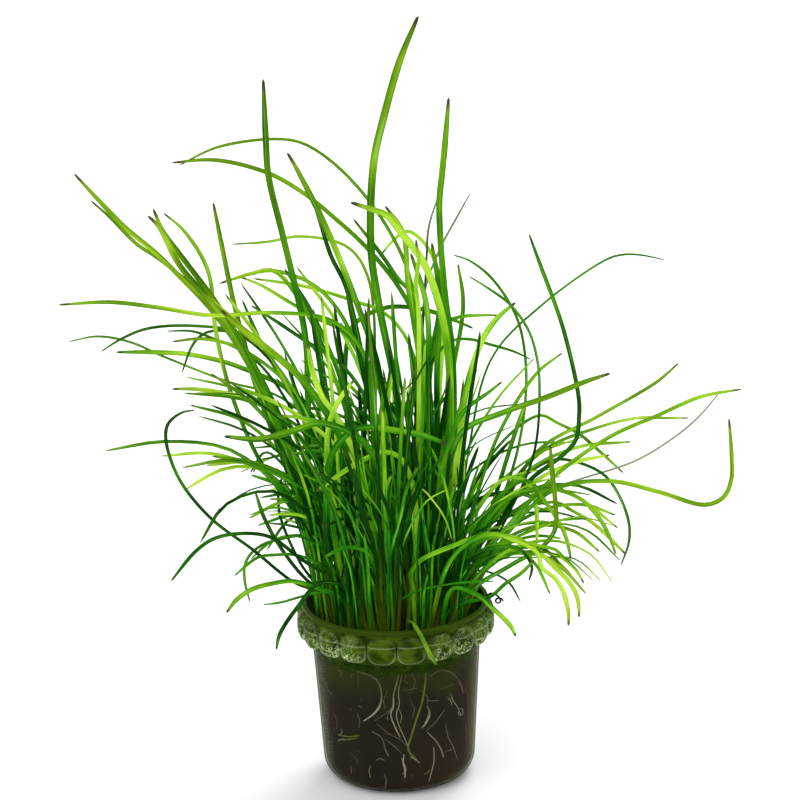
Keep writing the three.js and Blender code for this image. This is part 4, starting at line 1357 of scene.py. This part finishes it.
class SAGITTARIA_OT_roots(bpy.types.Operator):
    """Lays the thick and fine roots between the gel and the wall"""

    bl_idname = "sagittaria.roots"
    bl_label = "Make the roots"

    def execute(self, context):
        wall = settings_of(context).cup.wall / MM
        master = make_master("root_master", 1)
        material = root_material(settings_of(context).roots)
        dice = np.random.RandomState(ROOT_SEED)
        for name, (width, age, points) in ROOTS.items():
            piece = lay_root(master, name + "_strand", on_gel(points, wall), width, age, dice)
            finish_piece(piece, material, "root", name)
        for name, strands in FINE_ROOTS.items():
            pieces = [lay_root(master, name, on_gel(points, wall), width, age, dice)
                      for width, age, points in strands]
            finish_piece(join(pieces, name), material, "root")
        rootlet = lay_root(master, "rim_rootlet", RIM_ROOTLET, RIM_ROOTLET_WIDTH, OLDEST_ROOT, dice)
        finish_piece(rootlet, material, "root")
        bpy.data.objects.remove(master)
        return {"FINISHED"}


class SAGITTARIA_OT_long_leaves(bpy.types.Operator):
    """Lays each long leaf along its own route"""

    bl_idname = "sagittaria.long_leaves"
    bl_label = "Make the long leaves"

    def execute(self, context):
        settings = settings_of(context).leaves
        master = make_master("long_blade", settings.thickness)
        dice = np.random.RandomState(LONG_SEED)
        for index, row in enumerate(ROWS):
            if len(row) == 3:
                continue
            name, foot, width, tone, seen = row
            points = leaf_points(foot, row_lane(index), seen)
            piece = lay_blade(master, name + "_blade", points, width, gentle_twist(settings.twist, dice))
            shift = dice.uniform(-LONG_SHADE_STRAY, LONG_SHADE_STRAY) + SHADE_SHIFTS.get(name, 0)
            tone_blade(piece, shift, dice)
            finish_leaf(piece, tone, name)
        bpy.data.objects.remove(master)
        return {"FINISHED"}


class SAGITTARIA_OT_plantlets(bpy.types.Operator):
    """Grows the lesser leaves of each plantlet from its crown"""

    bl_idname = "sagittaria.plantlets"
    bl_label = "Make the plantlets"

    def execute(self, context):
        settings = settings_of(context).leaves
        master = make_master("lesser_blade", settings.thickness)
        for index, row in enumerate(ROWS):
            if len(row) == 3:
                self.grow(master, settings, index, *row)
        bpy.data.objects.remove(master)
        return {"FINISHED"}

    def grow(self, master, settings, index, name, foot, tone):
        dice = np.random.RandomState(PLANTLET_SEED + index)
        lane = row_lane(index)
        pieces = [make_crown(name + "_crown", foot, lane)]
        for i in range(settings.lesser_count):
            if i < FIRST_LEAVES:
                points, width = first_lesser_leaf(foot, lane, index, i), FIRST_WIDTH
            else:
                points, width = more_lesser_leaf(foot, lane, dice), dice.uniform(*LESSER_WIDTHS)
            twist = gentle_twist(settings.twist * LOOSE_TWIST, dice)
            pieces.append(lay_blade(master, name, points, width, twist))
        least, range_above = LESSER_SHADES
        for piece in pieces:
            tone_blade(piece, range_above * dice.random_sample() ** 2 + least, dice)
        finish_leaf(join(pieces, name + "_leaves"), tone, name)


class SAGITTARIA_OT_lesser_leaves(bpy.types.Operator):
    """Lays the shorter leaves that fill the clump's sides and top"""

    bl_idname = "sagittaria.lesser_leaves"
    bl_label = "Make the lesser leaves"

    def execute(self, context):
        settings = settings_of(context).leaves
        master = make_master("side_blade", settings.thickness)
        dice = np.random.RandomState(LESSER_SEED)
        for name, rows in LESSER_ROWS.items():
            pieces = []
            for lane, foot, width, tone, seen in rows:
                pieces.append(lay_blade(master, name, leaf_points(foot, lane, seen), width,
                                        gentle_twist(settings.twist, dice)))
                tone_blade(pieces[-1], TONE_LEVELS[tone] - TONE_LEVELS["mid"], dice)
            finish_leaf(join(pieces, name), "thread" if name == "dry_threads" else "mid")
        bpy.data.objects.remove(master)
        return {"FINISHED"}


class SAGITTARIA_OT_loose_leaves(bpy.types.Operator):
    """Scatters the short and loose leaves that thicken the clump"""

    bl_idname = "sagittaria.loose_leaves"
    bl_label = "Make the loose leaves"

    def execute(self, context):
        settings = settings_of(context).leaves
        masters = {name: make_master(name, settings.thickness) for name in ("short_blade", "loose_blade")}
        dice = np.random.RandomState(LOOSE_SEED)
        for kind, (blade, widths, shifts) in LOOSE_LEAVES.items():
            name = kind + "_leaves"
            pieces = []
            for _ in range(getattr(settings, kind + "_count")):
                pieces.append(lay_blade(masters[blade], name, ROUTES[kind](dice), dice.uniform(*widths),
                                        gentle_twist(settings.twist * LOOSE_TWIST, dice)))
                tone_blade(pieces[-1], dice.uniform(*shifts), dice)
            finish_leaf(join(pieces, name), "mid")
        for master in masters.values():
            bpy.data.objects.remove(master)
        return {"FINISHED"}


class SAGITTARIA_OT_leaf_colours(bpy.types.Operator):
    """Makes the leaf materials, one for each tone"""

    bl_idname = "sagittaria.leaf_colours"
    bl_label = "Make the leaf colours"

    def execute(self, context):
        for tone in TONE_LEVELS:
            leaf_material(settings_of(context).leaves, tone)
        return {"FINISHED"}


class SAGITTARIA_OT_stage(bpy.types.Operator):
    """Sets out the pale floor, the soft lamps and the camera at the front"""

    bl_idname = "sagittaria.stage"
    bl_label = "Set the stage"

    def execute(self, context):
        settings = settings_of(context).stage
        self.lay_floor(settings)
        self.light_room(context.scene, settings)
        self.add_lamp("key_lamp", KEY_PLACE, settings.key, KEY_SIZE)
        self.add_lamp("back_lamp", BACK_PLACE, settings.back, BACK_SIZE)
        self.aim_camera(context.scene)
        return {"FINISHED"}

    def lay_floor(self, settings):
        clear_selection()
        bpy.ops.mesh.primitive_plane_add(size=FLOOR_SIZE)
        floor = named("floor")
        graph = Graph("pale_floor")
        colour = graph.mix(graph.noise(graph.place(), 3) * 0.05, settings.floor, settings.floor_shade)
        floor.data.materials.append(graph.surface(graph.shader(colour, 0.9, 0.1)))

    def light_room(self, scene, settings):
        world = bpy.data.worlds.new("soft_room")
        scene.world = world
        world.use_nodes = True
        background = world.node_tree.nodes["Background"]
        background.inputs["Color"].default_value = (1, 1, 1, 1)
        background.inputs["Strength"].default_value = settings.sky
        scene.view_settings.view_transform = "Standard"

    def add_lamp(self, name, place, power, size):
        clear_selection()
        bpy.ops.object.light_add(type="AREA", location=place)
        lamp = named(name)
        lamp.data.energy = power
        lamp.data.size = size
        aim = Vector(LAMP_AIM) - Vector(place)
        lamp.rotation_euler = aim.to_track_quat("-Z", "Y").to_euler()

    def aim_camera(self, scene):
        sine, cosine = math.sin(VIEW_RISE), math.cos(VIEW_RISE)
        across = PICTURE_CENTRE_UP * math.sin(VIEW_LEAN) * MM
        up = PICTURE_CENTRE_UP * math.cos(VIEW_LEAN) * MM
        away = VIEW_DISTANCE * MM
        bpy.ops.object.camera_add(location=(across, up * sine - away * cosine, up * cosine + away * sine))
        camera = named("front_camera")
        camera.data.sensor_width = SENSOR_WIDTH
        camera.data.lens = SENSOR_WIDTH * VIEW_DISTANCE / PICTURE_WIDTH
        aimed = Matrix.Rotation(math.pi / 2 - VIEW_RISE, 3, "X") @ Matrix.Rotation(-VIEW_LEAN, 3, "Z")
        camera.rotation_euler = aimed.to_euler()
        scene.camera = camera


class SagittariaSettings(bpy.types.PropertyGroup):
    cup: PointerProperty(type=CupSettings, name="Cup", description="The culture cup")
    gel: PointerProperty(type=GelSettings, name="Gel", description="The growing gel")
    roots: PointerProperty(type=RootSettings, name="Roots", description="The roots")
    leaves: PointerProperty(type=LeafSettings, name="Leaves", description="The leaves")
    stage: PointerProperty(type=StageSettings, name="Stage", description="The floor and lamps")


STEPS = (SAGITTARIA_OT_cup, SAGITTARIA_OT_gel, SAGITTARIA_OT_roots, SAGITTARIA_OT_leaf_colours,
         SAGITTARIA_OT_long_leaves, SAGITTARIA_OT_plantlets, SAGITTARIA_OT_lesser_leaves,
         SAGITTARIA_OT_loose_leaves, SAGITTARIA_OT_stage)


class SAGITTARIA_PT_panel(bpy.types.Panel):
    """Lists the steps that make the plant"""

    bl_idname = "SAGITTARIA_PT_panel"
    bl_label = "Potted dwarf sagittaria"
    bl_space_type = "VIEW_3D"
    bl_region_type = "UI"
    bl_category = "Sagittaria"

    def draw(self, context):
        for step in STEPS:
            self.layout.operator(step.bl_idname)
        for group in SagittariaSettings.__annotations__:
            settings = getattr(settings_of(context), group)
            box = self.layout.box()
            for key in settings.__annotations__:
                box.prop(settings, key)


CLASSES = (CupSettings, GelSettings, RootSettings, LeafSettings, StageSettings, SagittariaSettings,
           *STEPS, SAGITTARIA_PT_panel)


def register():
    for cls in CLASSES:
        bpy.utils.register_class(cls)
    bpy.types.Scene.sagittaria = PointerProperty(type=SagittariaSettings)


def unregister():
    del bpy.types.Scene.sagittaria
    for cls in reversed(CLASSES):
        bpy.utils.unregister_class(cls)


def main():
    register()
    for step in STEPS:
        group, name = step.bl_idname.split(".")
        getattr(getattr(bpy.ops, group), name)()


if __name__ == "__main__":
    main()
